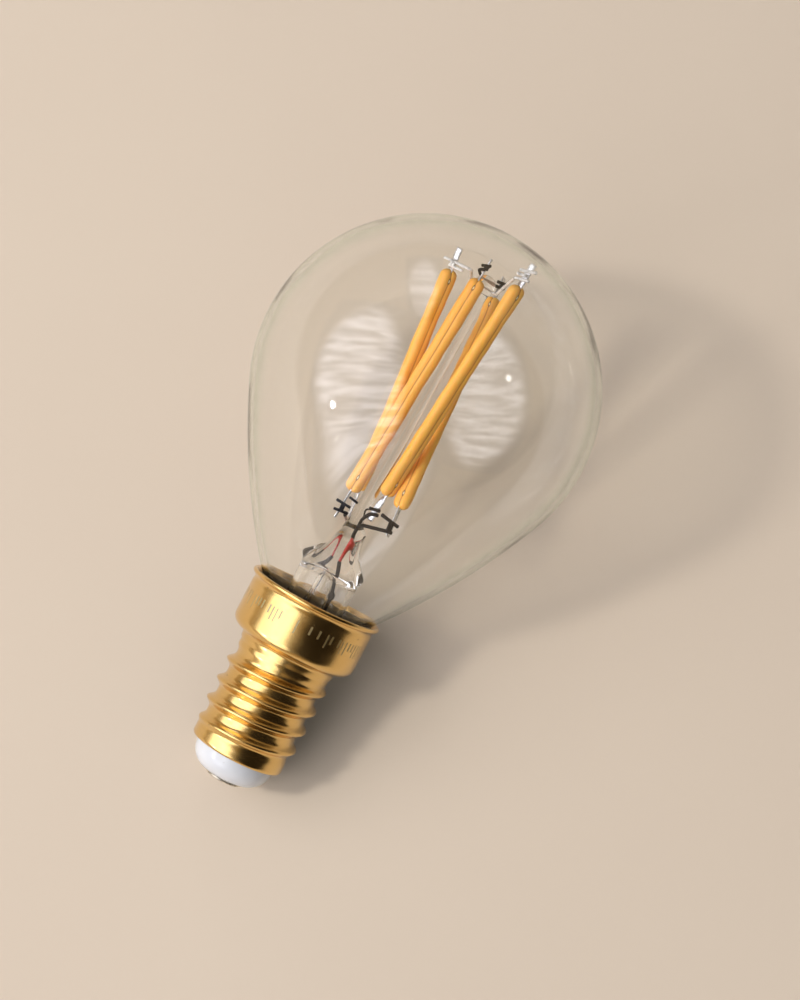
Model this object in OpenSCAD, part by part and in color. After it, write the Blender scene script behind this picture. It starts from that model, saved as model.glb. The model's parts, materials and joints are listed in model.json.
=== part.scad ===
// Small clear-glass lamp with four LED filaments and an E14 screw cap, lying on its side.
//
// Every piece is drawn upright first: z runs from the centre contact (0) up to the top of the
// ball, x runs across, and -y is the side that ends up on top. lay() then puts the lamp down,
// with the ball towards +Y, the cap towards -Y and the floor at Z = 0.

/* [Bulb] */
// Diameter of the glass ball, mm
ball_d = 45; // [38:0.5:54]
// Distance from the cap's rim to the centre of the ball, mm
ball_rise = 29.9; // [25:0.1:36]
// Thickness of the blown glass, mm
glass_t = 0.7; // [0.5:0.05:1]
// How far the inside of the wall sits off centre, mm: the side on the floor is the thicker one
wall_shift = 0.03; // [0:0.005:0.05]

/* [Cap] */
// Length of the cap from contact to rim, mm
cap_len = 26.6; // [23:0.1:30]
// Diameter over the thread crests, mm
thread_d = 13.6; // [12:0.1:15]
// Pitch of the thread, mm
pitch = 2.822; // [2.3:0.001:3.4]
// How far the smooth skirt stands out from the thread, mm
skirt_step = 1.7; // [1.3:0.1:3]
// Height of the smooth skirt, mm
skirt_h = 7.6; // [6.5:0.1:9]

/* [Filaments] */
// Height of the filaments' feet above the cap's rim, mm
foot_h = 14.5; // [12.5:0.1:18]
// Room left from the heads of the filaments to the top of the ball, mm
head_gap = 6.7; // [5.5:0.1:10]
// Radius of each lobe of the coating, mm
lobe_r = 0.75; // [0.6:0.01:0.9]

/* [Wires and stem] */
// Diameter of the lead and anchor wires, mm
wire_d = 0.5; // [0.35:0.01:0.6]
// Diameter of the glass support rod, mm
rod_d = 1.9; // [1.5:0.05:2.2]
// Diameter of the stem tube, mm
stem_d = 8; // [7:0.1:9]

/* [Hidden] */
$fn = 96;

CLEAR = [0.85, 0.9, 0.9, 0.35];
COATING = [0.98, 0.62, 0.16];
STRIP = [0.8, 0.8, 0.82];
BRIGHT_WIRE = [0.75, 0.74, 0.72];
DARK_WIRE = [0.13, 0.12, 0.12];
RED_WIRE = [0.75, 0.1, 0.06];
TINNED = [0.8, 0.8, 0.8];
BLACK = [0.08, 0.08, 0.08];

ball_r = ball_d / 2;
wire_r = wire_d / 2;
rod_r = rod_d / 2;
stem_r = stem_d / 2;

// Heights along the lamp, from the centre contact
rim = cap_len;
ball_s = rim + ball_rise;              // centre of the ball
skirt_s = rim - skirt_h;               // underside of the skirt
end_s = 4.2;                           // end band, where the insulator comes out
foot = rim + foot_h;                   // bottom of the filaments' coating
coat_len = ball_s + ball_r - head_gap - foot;

// Radii of the cap, each from the one that it fits
thread_r = thread_d / 2;
skirt_r = thread_r + skirt_step;
end_r = thread_r - 0.35;               // smooth band at the end of the thread
bore_r = thread_r - 1.3;               // inside of the threaded part
contact_r = 2.3;
sheet_t = 0.35;                        // thickness of the cap's sheet brass
neck_r = skirt_r - 0.8;                // glass neck inside the skirt
flare_r = neck_r - glass_t;            // the stem's flare, sealed into the neck
fit = bore_r / 5.5;                    // scales the driver with the cap's bore

// The angle at which the ball and a ring of the cap both touch the floor
function lean(rise, r) = asin(ball_r / norm([rise, r])) - atan2(r, rise);
lean_deg = min(lean(ball_s - end_s - 0.45, end_r), lean(ball_s - end_s - 0.1, end_r - 0.2));
ball_y = (ball_s * cos(lean_deg) + contact_r * sin(lean_deg) - ball_r) / 2;

module lay() {
  translate([0, ball_y, ball_r]) rotate([lean_deg - 90, 0, 0]) translate([0, 0, -ball_s]) children();
}

// Points of an arc about c, from angle a0 to a1, in n steps
function arc(c, r, a0, a1, n) =
  [for (i = [0:n]) let (a = a0 + (a1 - a0) * i / n) c + r * [cos(a), sin(a)]];

// A round bar from a to b
module bar(a, b, r) {
  v = b - a;
  translate(a) rotate([0, acos(v[2] / norm(v)), atan2(v[1], v[0])]) cylinder(h = norm(v), r = r);
}

// A wire through points first to last of the list p. Each bend is a ball a little wider than
// the wire, and every other length is a hair thinner, so that no two round faces coincide.
module wire_part(p, first, last, r) {
  for (i = [first:last - 1]) bar(p[i], p[i + 1], i % 2 == 0 ? r : r * 0.97);
  for (i = [max(first, 1):min(last, len(p) - 2)]) translate(p[i]) rotate([45, 10, 0]) sphere(r = r * 1.15);
}
module wire(p, r) {
  wire_part(p, 0, len(p) - 1, r);
}

// ---- Blown glass ----
// The ball runs into a long shallow arc that meets the cap's rim, and a straight neck goes
// down inside the skirt.
rim_r = neck_r + 0.35;                 // radius of the glass where it meets the rim
neck_s = skirt_s + 1.6;                // bottom edge of the neck
neck_top = rim - 0.45;                 // where the neck starts to widen
past_tangent = 8.3;                    // turns the join past the straight tangent, so the wall bulges
wall_turn = 8;                         // direction in which the inside of the wall is shifted
join_a = atan2(rim_r, ball_rise) + acos(ball_r / norm([rim_r, ball_rise])) + past_tangent;
arc_extra = (pow(ball_r, 2) - pow(rim_r, 2) - pow(ball_rise, 2))
  / (2 * (rim_r * sin(join_a) + ball_rise * cos(join_a) - ball_r));
arc_c = [-arc_extra * sin(join_a), ball_s + arc_extra * cos(join_a)];

module glass_outline(inset) {
  join_s = ball_s - (ball_r - inset) * cos(join_a);
  intersection() {
    translate([0, ball_s]) circle(r = ball_r - inset, $fn = 180);
    translate([0, join_s]) square([ball_d, ball_d * 2]);
  }
  intersection() {
    translate(arc_c) circle(r = ball_r + arc_extra - inset, $fn = 360);
    translate([0, neck_top]) square([ball_d, join_s - neck_top]);
  }
}

module glass_bulb() color(CLEAR) lay() difference() {
  rotate_extrude() {
    glass_outline(0);
    translate([0, neck_s]) square([neck_r, neck_top - neck_s]);
  }
  translate(wall_shift * [sin(wall_turn), -cos(wall_turn), 0]) rotate_extrude() {
    glass_outline(glass_t);
    translate([0, neck_s - 1]) square([flare_r + wall_shift, neck_top - neck_s + 1]);
  }
}

// ---- Stem: a flared tube whose top is pressed flat round the wires ----
press_s = rim + 4.0;                   // where the tube starts to flatten
flat_s = rim + 7.2;                    // where it is flat
top_s = rim + 9.2;                     // top of the press
ear_r = 0.8;                           // rounded edges of the press

module press_side(lower, slope) {
  translate([0, stem_r + 1, 0]) rotate([90, 0, 0]) linear_extrude(2 * stem_r + 2)
    polygon(concat([[-stem_r - 1, lower], [stem_r + 1, lower]], slope));
}

module stem_tube() rotate_extrude() polygon([
  [stem_r - glass_t, press_s], [stem_r - glass_t, neck_s + 5], [stem_r - 0.4, neck_s + 3],
  [flare_r - 1.6, neck_s + 1.1], [flare_r - glass_t, neck_s + 0.2], [flare_r - glass_t, neck_s],
  [flare_r, neck_s], [flare_r, neck_s + 0.5], [flare_r - 1.2, neck_s + 1.9],
  [stem_r + 0.3, neck_s + 3.6], [stem_r, neck_s + 5.2], [stem_r, press_s]]);

module press_body() intersection() {
  translate([0, 0, press_s]) cylinder(h = 9, r = stem_r);
  press_side(press_s, [
    [stem_r, press_s + 0.3], [1.75, flat_s], [1.6, top_s],
    [-1.3, top_s], [-1.5, flat_s], [-stem_r, press_s + 0.3]]);
}

module press_hollow() intersection() {
  translate([0, 0, press_s - 1]) cylinder(h = 9, r = stem_r - glass_t);
  press_side(press_s - 1, [
    [stem_r - glass_t, press_s], [0.9, press_s + 1.3],
    [-0.9, press_s + 1.3], [-stem_r + glass_t, press_s]]);
}

module ear(a, b) {
  bar(a, b, ear_r);
  for (p = [a, b]) translate(p) sphere(r = ear_r * 1.09);
}

module stem_glass() color(CLEAR) lay() difference() {
  union() {
    stem_tube();
    press_body();
    translate([-0.2, 0, top_s - 0.2]) cylinder(h = 1.9, r1 = 1.45, r2 = rod_r + 0.22);
    translate([1.35, 0, top_s + 0.85]) sphere(r = 0.75);
    ear([-3.0, 0, press_s + 0.5], [-1.7, 0, flat_s - 0.2]);
    ear([2.0, 0, flat_s - 0.4], [3.4, 0, press_s + 0.6]);
  }
  press_hollow();
  exhaust_outside();
  rod_bar();
  wire(seal_f, wire_r + 0.02);
  wire(seal_r, wire_r + 0.02);
  wire_part(lead_f, 0, 1, wire_r);
  wire_part(lead_r, 0, 1, wire_r);
  wire_part(tail_f, 0, 1, wire_r);
  wire_part(tail_r, 0, 1, wire_r);
}

// The narrow tube through which the bulb was pumped out, tipped off below
tip_s = neck_s - 2.4;
exhaust_r = 1.35;
module exhaust_outside() {
  translate([0, 0, tip_s]) cylinder(h = press_s + 1.6 - tip_s, r = exhaust_r);
}
module exhaust_tube() color(CLEAR) lay() difference() {
  union() {
    exhaust_outside();
    translate([0, 0, tip_s - 0.7]) cylinder(h = 0.7, r1 = exhaust_r - 0.85, r2 = exhaust_r);
  }
  translate([0, 0, tip_s + 0.2]) cylinder(h = press_s + 1 - tip_s, r = exhaust_r - 0.5);
}

// The glass rod that stands on the press and holds the anchor wires in its button
rod_bottom = [-0.22, 0, rim + 8.4];
rod_dir = [0.72, 0, 36.9] / norm([0.72, 0, 36.9]);
rod_top = rod_bottom + rod_dir * (foot_h + coat_len - 9);
module rod_bar() {
  bar(rod_bottom, rod_top, rod_r);
}
module support_rod() color(CLEAR) lay() difference() {
  union() {
    rod_bar();
    translate(rod_top) sphere(r = 1.45);
  }
  bar(anchor_f[4], anchor_f[5], wire_r);
  bar(anchor_r[4], anchor_r[5], wire_r);
}

// ---- Filaments ----
// Each stands on its foot point and leans along its own slope. Two of them cross, so the
// fourth moves away from the third as the coating gets thicker.
apart = 2 * (lobe_r - 0.75);
feet = [
  [-2.2, 3.1, foot], [-2.15, -2.8, foot - 0.15],
  [4.55, -3.4, foot + 0.85], [2.05, -2.8 - apart, foot + 1.5]];
slope = [[-1.5, -7.1, 30.8], [2.05, 0.4, 31.2], [-3.0, 10.2, 28.85], [3.1, -3.3, 29.9]];
turn = [50, 90, 110, 40];              // turn of each strip about its own length
strip_w = 0.85;
strip_t = 0.2;
tab_low = 3.8;                         // bare strip below the coating
tab_high = 3.0;                        // bare strip above it
lobe_off = lobe_r * 0.43;              // each face of the strip carries one lobe

function lean_of(i) = slope[i] / norm(slope[i]);
function head(i) = feet[i] + lean_of(i) * coat_len;

module on_filament(i) {
  d = lean_of(i);
  heading = atan2(d[1], d[0]);
  translate(feet[i]) rotate([0, acos(d[2]), heading]) rotate([0, 0, -heading - turn[i]]) children();
}

module lobe() {
  end = [[0.5, 0], [0.85, 0.2], [1, 0.65]];
  low = [for (p = end) [lobe_r * p[0], p[1]]];
  high = [for (k = [2:-1:0]) [lobe_r * end[k][0], coat_len - end[k][1]]];
  rotate_extrude() polygon(concat([[0, 0]], low, high, [[0, coat_len]]));
}

module phosphor(i) color(COATING) lay() on_filament(i) difference() {
  for (side = [-1, 1]) translate([0, side * lobe_off, 0]) lobe();
  translate([-strip_w / 2, -strip_t / 2, -1]) cube([strip_w, strip_t, coat_len + 2]);
}

module carrier(i) color(STRIP) lay() difference() {
  on_filament(i) translate([-strip_w / 2, -strip_t / 2, -tab_low])
    cube([strip_w, strip_t, coat_len + tab_low + tab_high]);
  hooks_on(i);
}

// The hooks that are welded to each strip's tabs
module hooks_on(i) {
  if (i == 0) {
    wire_part(anchor_f, 0, 3, wire_r);
    wire_part(branch_r, 1, 5, wire_r);
  }
  if (i == 1) {
    wire_part(anchor_r, 0, 3, wire_r);
    wire_part(lead_r, 3, 7, wire_r);
  }
  if (i == 2) {
    wire_part(anchor_r, 6, 9, wire_r);
    wire_part(lead_f, 2, 6, wire_r);
  }
  if (i == 3) {
    wire_part(anchor_f, 6, 9, wire_r);
    wire_part(branch_f, 2, 6, wire_r);
  }
}

// ---- Wires ----
// A hook is a hairpin across a tab. Its points are given from the end of that strip's
// coating: x across, z along the lamp, with y on the front face of the strip.
function front_of(i) =
  wire_r + strip_w / 2 * sin(turn[i]) + strip_t / 2 * abs(cos(turn[i])) - 0.05;
function hook_at(i, end, x, z) =
  [end[0] + x, end[1] + lean_of(i)[1] / lean_of(i)[2] * z - front_of(i), end[2] + z];
function low_hook(i, x, z) = hook_at(i, feet[i], x, z);
function high_hook(i, x, z) = hook_at(i, head(i), x, z);

fork = [0.65, -2.0, foot - 3.4];       // where the front branch is welded on
seal_f = [[0.69, -2.0, rim + 5.8], [0.71, -2.0, rim + 8.9]];
seal_r = [[-0.80, 2.0, rim + 5.6], [-0.85, 2.0, rim + 8.7]];
anchor_f = [
  high_hook(0, 1.5, 0.5), high_hook(0, -0.5, 0.4), high_hook(0, -1.35, 1.0), high_hook(0, 2.45, 1.1),
  rod_top + [-1.95, -0.6, 0.1], rod_top + [1.95, -0.6, -0.3],
  high_hook(3, -1.0, 0.75), high_hook(3, 1.05, 1.2), high_hook(3, 1.1, 2.35), high_hook(3, -1.05, 1.75)];
anchor_r = [
  high_hook(1, -0.95, 1.85), high_hook(1, 0.5, 2.5), high_hook(1, 0.6, 1.8), high_hook(1, -0.7, 1.1),
  rod_top + [-0.75, -1.6, 0.9], rod_top + [0.75, 1.8, 0.2],
  high_hook(2, -0.75, 1.95), high_hook(2, 0.55, 2.2), high_hook(2, 0.65, 1.5), high_hook(2, -0.8, 1.0)];
lead_f = [
  seal_f[1], fork + [0, -0.1, -0.4], fork + [0.6, -0.9, 0.2],
  low_hook(2, 0.1, -3.05), low_hook(2, 1.2, -2.9), low_hook(2, 1.5, -1.95), low_hook(2, -1.45, -1.6)];
branch_f = [
  fork + [0, 0.4, -0.9], fork + [0.05, -0.2, 0.6], [1.1, -2.6, foot - 1.95],
  low_hook(3, -0.6, -2.95), low_hook(3, 0.6, -2.6), low_hook(3, 0.45, -2.0), low_hook(3, -1.45, -2.45)];
lead_r = [
  seal_r[1], [-1.0, 2.0, foot - 4.9], [-1.55, 1.5, foot - 4.0], [-1.85, 0, foot - 3.4],
  low_hook(1, 1.0, -2.6), low_hook(1, -0.7, -2.75), low_hook(1, -0.95, -1.7), low_hook(1, 1.0, -1.75)];
branch_r = [
  [-1.35, 2.25, foot - 4.35], [-1.1, 2.3, foot - 2.9],
  low_hook(0, 1.25, -1.7), low_hook(0, -0.75, -1.4), low_hook(0, -0.75, -0.7), low_hook(0, 0.95, -0.85)];

// The tails run down inside the stem to the driver, one on each face of its board
board_t = 1;
face = board_t / 2 + wire_r;           // a wire lying on the board
bead_at = [1.78, -2.2, rim + 1.5];
tail_f = [
  seal_f[0], [1.25, -2.1, rim + 3.6], bead_at, [1.8, -2.2, rim - 1.5], [1.7, -2.0, skirt_s + 0.6],
  [1.8 * fit, -face - wire_r * 0.15, skirt_s - 2.2], [1.8 * fit, -face, skirt_s - 3.6]];
tail_r = [
  seal_r[0], [-1.4, 2.1, rim + 3.4], [-1.75, 2.2, rim - 1.5], [-1.7, 2.0, skirt_s + 0.6],
  [-1.8 * fit, face + wire_r * 0.15, skirt_s - 2.2], [-1.8 * fit, face, skirt_s - 3.6]];

module anchor_front() color(BRIGHT_WIRE) lay() wire(anchor_f, wire_r);
module anchor_rear() color(DARK_WIRE) lay() wire(anchor_r, wire_r);
module lead_front() color(DARK_WIRE) lay() difference() {
  wire(lead_f, wire_r);
  wire_part(branch_f, 0, 1, wire_r);
}
module branch_front() color(DARK_WIRE) lay() wire(branch_f, wire_r);
module lead_rear() color(DARK_WIRE) lay() wire(lead_r, wire_r);
module branch_rear() color(DARK_WIRE) lay() difference() {
  wire(branch_r, wire_r);
  wire_part(lead_r, 0, 3, wire_r);
}
module seal_front() color(RED_WIRE) lay() wire(seal_f, wire_r + 0.02);
module seal_rear() color(RED_WIRE) lay() wire(seal_r, wire_r + 0.02);
module tail_front() color(DARK_WIRE) lay() {
  wire(tail_f, wire_r);
  translate(bead_at) sphere(r = 0.42);
}
module tail_rear() color(DARK_WIRE) lay() wire(tail_r, wire_r);

// ---- Cap ----
skirt_round = min(1.4, skirt_step - 0.3); // rounding under the skirt, limited by its step
bead_r = 0.45;                         // rolled rim

module cement() color([0.8, 0.76, 0.68]) lay() rotate_extrude() polygon([
  [neck_r, neck_s + 0.6], [skirt_r - sheet_t - 0.02, neck_s + 0.6],
  [skirt_r - sheet_t - 0.02, rim - 0.62], [neck_r, rim - 0.5]]);

module skirt() rotate_extrude() polygon(concat(
  [[bore_r + 0.05, skirt_s - 1.8], [thread_r - 0.25, skirt_s - 1.8],
    [thread_r - 0.25, skirt_s - 0.4], [thread_r + 0.05, skirt_s - 0.05]],
  arc([skirt_r - skirt_round, skirt_s + skirt_round], skirt_round, -90, 0, 7),
  [[skirt_r, rim - 1.35], [skirt_r - 0.1, rim - 1.2], [skirt_r - 0.02, rim - 1.02]],
  arc([skirt_r + 0.05, rim - bead_r], bead_r, -70, 180, 10),
  [[skirt_r - sheet_t, rim - 0.62], [skirt_r - sheet_t, skirt_s + skirt_round]],
  arc([skirt_r - skirt_round, skirt_s + skirt_round], skirt_round - sheet_t, 0, -90, 6),
  [[bore_r + 0.05, skirt_s - 0.1]]));

module end_band() rotate_extrude() polygon([
  [bore_r, end_s + 0.05], [end_r - 0.45, end_s], [end_r - 0.2, end_s + 0.1],
  [end_r - 0.04, end_s + 0.25], [end_r, end_s + 0.45], [end_r - 0.02, end_s + 1.1],
  [bore_r, end_s + 1.1]]);

// Rolled right-hand thread: narrow crests, wide round roots, fading out at both ends
thread_bottom = end_s + 0.7;
thread_top = skirt_s - 1.4;
thread_depth = 0.82;
crest_s = rim - 12.2;                  // height of a crest on the -x side
around = 60;
rings = ceil((thread_top - thread_bottom) / pitch * 10);

function smooth(t) = let (c = min(1, max(0, t))) c * c * (3 - 2 * c);
function full(z) = min(smooth((z - thread_bottom - 0.1) / 1.4), smooth((thread_top - 0.4 - z) / 1.4));
function crest(a, z) = pow((1 - cos(360 * (z - crest_s) / pitch - a)) / 2, 1.5);
function thread_radius(a, z) = let (f = full(z))
  (thread_r - 0.5) * (1 - f) + (thread_r - thread_depth * (1 - crest(a, z))) * f;

module thread() {
  last = rings * around;
  inner = last + around;
  wave = [for (j = [0:rings], i = [0:around - 1])
    let (z = thread_bottom + (thread_top - thread_bottom) * j / rings, a = 360 * i / around)
    [thread_radius(a, z) * cos(a), thread_radius(a, z) * sin(a), z]];
  inside = [for (z = [thread_bottom, thread_top], i = [0:around - 1])
    let (a = 360 * i / around) [(bore_r + 0.2) * cos(a), (bore_r + 0.2) * sin(a), z]];
  faces = [for (i = [0:around - 1]) let (n = (i + 1) % around) each concat(
    [for (j = [0:rings - 1]) each let (p = j * around, q = p + around)
      [[p + i, q + i, q + n], [p + i, q + n, p + n]]],
    [[inner + i, inner + n, inner + around + n], [inner + i, inner + around + n, inner + around + i],
      [i, n, inner + n], [i, inner + n, inner + i],
      [last + i, inner + around + i, inner + around + n], [last + i, inner + around + n, last + n]])];
  polyhedron(concat(wave, inside), faces, convexity = 8);
}

module cap_shell() color([0.85, 0.65, 0.25]) lay() union() {
  skirt();
  thread();
  end_band();
}

insulator_r = contact_r + 0.15;
module cap_insulator() color([0.95, 0.95, 0.94]) lay() difference() {
  rotate_extrude() polygon(concat(
    [[0, 0.45], [insulator_r, 0.45]],
    arc([insulator_r, 3.75], 3.3 * fit, -80, -8, 7),
    [[bore_r - 0.02, end_s + 0.02], [bore_r - 0.02, end_s + 1.4], [bore_r - 1.1, end_s + 1.4],
      [bore_r - 1.1, 2.4], [0, 2.2]]));
  translate([0, 0, -1]) cylinder(h = 5, r = 0.8);
}

module centre_contact() color([0.8, 0.72, 0.5]) lay() rotate_extrude() polygon([
  [0, 0], [contact_r, 0], [contact_r + 0.2, 0.12], [contact_r + 0.2, 0.3], [contact_r, 0.42],
  [0.8, 0.42], [0.8, 2.32], [1.3, 2.42], [1.3, 2.7], [1.1, 2.85], [0, 2.85]]);

// ---- Driver, hidden in the cap: the heavy capacitor hangs on the lower side ----
board_w = 2 * sqrt(bore_r * bore_r - board_t * board_t / 4) - 0.06;
board_s = end_s + 1.9;
can_r = 2.4 * fit;
can_h = 6.8;
can_s = board_s + 1.0;

module on_board(x, side, s) {
  translate([x, side * board_t / 2, s]) children();
}
module driver_board() color([0.1, 0.35, 0.15]) lay()
  translate([-board_w / 2, -board_t / 2, board_s]) cube([board_w, board_t, skirt_s - 2.1 - board_s]);
module capacitor() color([0.15, 0.15, 0.2]) lay() on_board(-0.5 * fit, 1, can_s) translate([0, can_r, 0]) {
  cylinder(h = can_h, r = can_r);
  translate([0, 0, can_h]) cylinder(h = 0.3, r1 = can_r, r2 = can_r - 0.3);
}
module rectifier() color(BLACK) lay() on_board(-2.3 * fit, -1, board_s + 1.1) translate([0, -1.5, 0])
  cube([4.6 * fit, 1.5, 3.8]);
module driver_chip() color(BLACK) lay() on_board(-0.2, -1, board_s + 5.5) translate([0, -1.1, 0])
  cube([3.0 * fit, 1.1, 2.9]);
module contact_wire() color(TINNED) lay() wire([
  [0.6, 0, 2.85], [0.6, 0, 3.3], [3.0 * fit, -face, end_s + 1.3], [3.0 * fit, -face, end_s + 3.6]], wire_r);
module shell_wire() color(TINNED) lay() wire([
  [-4.0 * fit, -face, skirt_s - 4.0], [-4.0 * fit, -face, skirt_s - 1.8],
  [-4.6 * fit, -1.0, skirt_s + 0.7], [-neck_r + 0.25, -1.0, skirt_s + 0.75]], wire_r);

module phosphor_1() phosphor(0);
module phosphor_2() phosphor(1);
module phosphor_3() phosphor(2);
module phosphor_4() phosphor(3);
module carrier_1() carrier(0);
module carrier_2() carrier(1);
module carrier_3() carrier(2);
module carrier_4() carrier(3);

glass_bulb();
stem_glass();
exhaust_tube();
support_rod();
phosphor_1();
phosphor_2();
phosphor_3();
phosphor_4();
carrier_1();
carrier_2();
carrier_3();
carrier_4();
anchor_front();
anchor_rear();
lead_front();
branch_front();
lead_rear();
branch_rear();
seal_front();
seal_rear();
tail_front();
tail_rear();
cement();
cap_shell();
cap_insulator();
centre_contact();
driver_board();
capacitor();
rectifier();
driver_chip();
contact_wire();
shell_wire();
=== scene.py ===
# %% [markdown]
# # A small filament lamp, lying on its side
# The lamp is a clear glass ball on a brass screw cap. Inside stand four coated filaments,
# held by thin wires on a pressed glass stem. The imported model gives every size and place.
# Here each piece gets the fine shape and the finish that the plain model leaves out.

import json
import math

import bmesh
import bpy
import numpy as np
from mathutils import Matrix, Vector


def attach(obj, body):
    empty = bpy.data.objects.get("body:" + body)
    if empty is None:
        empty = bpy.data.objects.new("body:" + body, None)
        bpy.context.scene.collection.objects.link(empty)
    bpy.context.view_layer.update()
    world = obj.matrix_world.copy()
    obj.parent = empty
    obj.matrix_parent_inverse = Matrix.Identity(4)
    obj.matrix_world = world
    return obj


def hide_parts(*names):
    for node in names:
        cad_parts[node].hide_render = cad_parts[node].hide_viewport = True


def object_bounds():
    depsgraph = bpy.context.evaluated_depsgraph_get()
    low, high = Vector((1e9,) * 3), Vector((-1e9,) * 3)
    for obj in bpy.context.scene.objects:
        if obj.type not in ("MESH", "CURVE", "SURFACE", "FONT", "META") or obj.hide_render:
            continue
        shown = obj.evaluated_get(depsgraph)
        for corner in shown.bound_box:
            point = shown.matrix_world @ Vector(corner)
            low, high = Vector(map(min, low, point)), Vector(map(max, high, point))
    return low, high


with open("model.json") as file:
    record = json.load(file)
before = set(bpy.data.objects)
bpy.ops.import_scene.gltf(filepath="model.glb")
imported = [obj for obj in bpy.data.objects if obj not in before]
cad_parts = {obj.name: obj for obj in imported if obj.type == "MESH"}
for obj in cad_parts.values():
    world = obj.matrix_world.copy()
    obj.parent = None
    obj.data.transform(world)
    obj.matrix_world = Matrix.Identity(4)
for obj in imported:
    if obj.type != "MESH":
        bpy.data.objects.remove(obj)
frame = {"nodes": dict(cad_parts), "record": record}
cad_low, cad_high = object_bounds()
print("packed model, mm:", [round(1000 * (b - a), 2) for a, b in zip(cad_low, cad_high)])

# %% [markdown]
# ## The lamp's own axes
# The lamp leans on the floor, so its pieces are awkward to draw in floor coordinates. It is
# easier to draw each one upright, in millimetres: x across, y towards the floor, and z from
# the centre contact up to the ball. One matrix then lays them all down. The contact's mount
# in the record gives the matrix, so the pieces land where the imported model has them.

# %% The matrix that lays the lamp down
MM = 0.001
contact_mount = next(m for m in frame["record"]["mounts"] if m["name"] == "centre_contact_face")
contact_point = Vector(contact_mount["pos_m"])
along = -Vector(contact_mount["axis"]).normalized()
across = Vector((1, 0, 0))
down = along.cross(across)


def axes_matrix(x_axis, y_axis, z_axis, origin):
    """A matrix whose columns are these three axes and this origin."""
    columns = [Vector(v) for v in (x_axis, y_axis, z_axis, origin)]
    return Matrix([[c[row] for c in columns] for row in range(3)] + [[0, 0, 0, 1]])


lamp_place = axes_matrix(across, down, along, contact_point) @ Matrix.Scale(MM, 4)
print("the lamp leans by", round(math.degrees(math.asin(along.z)), 2), "degrees")


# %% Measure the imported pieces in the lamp's millimetres
def lamp_points(node):
    """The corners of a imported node, upright and in millimetres."""
    corners = np.array([v.co for v in frame["nodes"][node].data.vertices])
    back = np.array(lamp_place.inverted())
    return corners @ back[:3, :3].T + back[:3, 3]


glass_points = lamp_points("glass_bulb")
cap_points = lamp_points("cap_shell")
ball_r = (glass_points[:, 0].max() - glass_points[:, 0].min()) / 2
ball_z = glass_points[:, 2].max() - ball_r
neck_z = glass_points[:, 2].min()
rim_z = cap_points[:, 2].max()
end_z = cap_points[:, 2].min()
bead_reach = np.hypot(cap_points[:, 0], cap_points[:, 1]).max()
glass_t = 0.7
bead_r = 0.45
skirt_r = bead_reach - bead_r - 0.05
skirt_z = neck_z - 1.6
thread_r = skirt_r - 1.7
bore_r = thread_r - 1.3
neck_r = skirt_r - 0.8
flare_r = neck_r - glass_t
print(f"ball {2 * ball_r:.1f} mm, centre at {ball_z:.1f}, rim at {rim_z:.1f}, skirt radius {skirt_r:.2f}")

# %% [markdown]
# ## Helpers for turned, swept and lofted pieces
# Most pieces of a lamp are round: blown glass, turned brass, drawn wire. So three small
# builders make almost everything. A lathe turns an outline about the z axis, a sweep runs a
# circle along a path, and a loft joins outlines that change shape. Each gives a closed mesh.


# %% Turn an outline about the z axis
def turned(outline, steps, reshape=None, loop=False):
    """Corners and faces of an outline of (radius, z) points turned about z.
    reshape(radius, z, angle) may change the radius. loop joins the last point to the first."""
    corners, rings = [], []
    for radius, z in outline:
        if radius == 0:
            rings.append([len(corners)] * steps)
            corners.append((0, 0, z))
            continue
        rings.append(list(range(len(corners), len(corners) + steps)))
        for k in range(steps):
            angle = 2 * math.pi * k / steps
            r = reshape(radius, z, angle) if reshape else radius
            corners.append((r * math.cos(angle), r * math.sin(angle), z))
    pairs = list(zip(rings, rings[1:])) + ([(rings[-1], rings[0])] if loop else [])
    return corners, bridged(pairs, steps)


def bridged(pairs, steps):
    """Faces between pairs of rings. A ring of one repeated corner is a pole."""
    faces = []
    for lower, upper in pairs:
        for k in range(steps):
            n = (k + 1) % steps
            face = [lower[k], lower[n], upper[n], upper[k]]
            face = [c for i, c in enumerate(face) if c not in face[:i]]
            if len(face) > 2:
                faces.append(face)
    return faces


def arc_points(centre, radius, start, end, count):
    """Points of an arc in (radius, z), with its angles in degrees."""
    angles = np.radians(np.linspace(start, end, count))
    return [(centre[0] + radius * math.cos(a), centre[1] + radius * math.sin(a)) for a in angles]


# %% Sweep a circle along a path with rounded bends
def rounded_path(points, bend, count=6):
    """The path with each inner corner replaced by a smooth curve that starts bend away."""
    points = [Vector(p) for p in points]
    path = [points[0]]
    for before, corner, after in zip(points, points[1:], points[2:]):
        enter = min(bend, 0.45 * (corner - before).length)
        leave = min(bend, 0.45 * (after - corner).length)
        a = corner + (before - corner).normalized() * enter
        b = corner + (after - corner).normalized() * leave
        for k in range(count + 1):
            t = k / count
            path.append(a * (1 - t) ** 2 + corner * 2 * t * (1 - t) + b * t * t)
    return path + [points[-1]]


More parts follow.
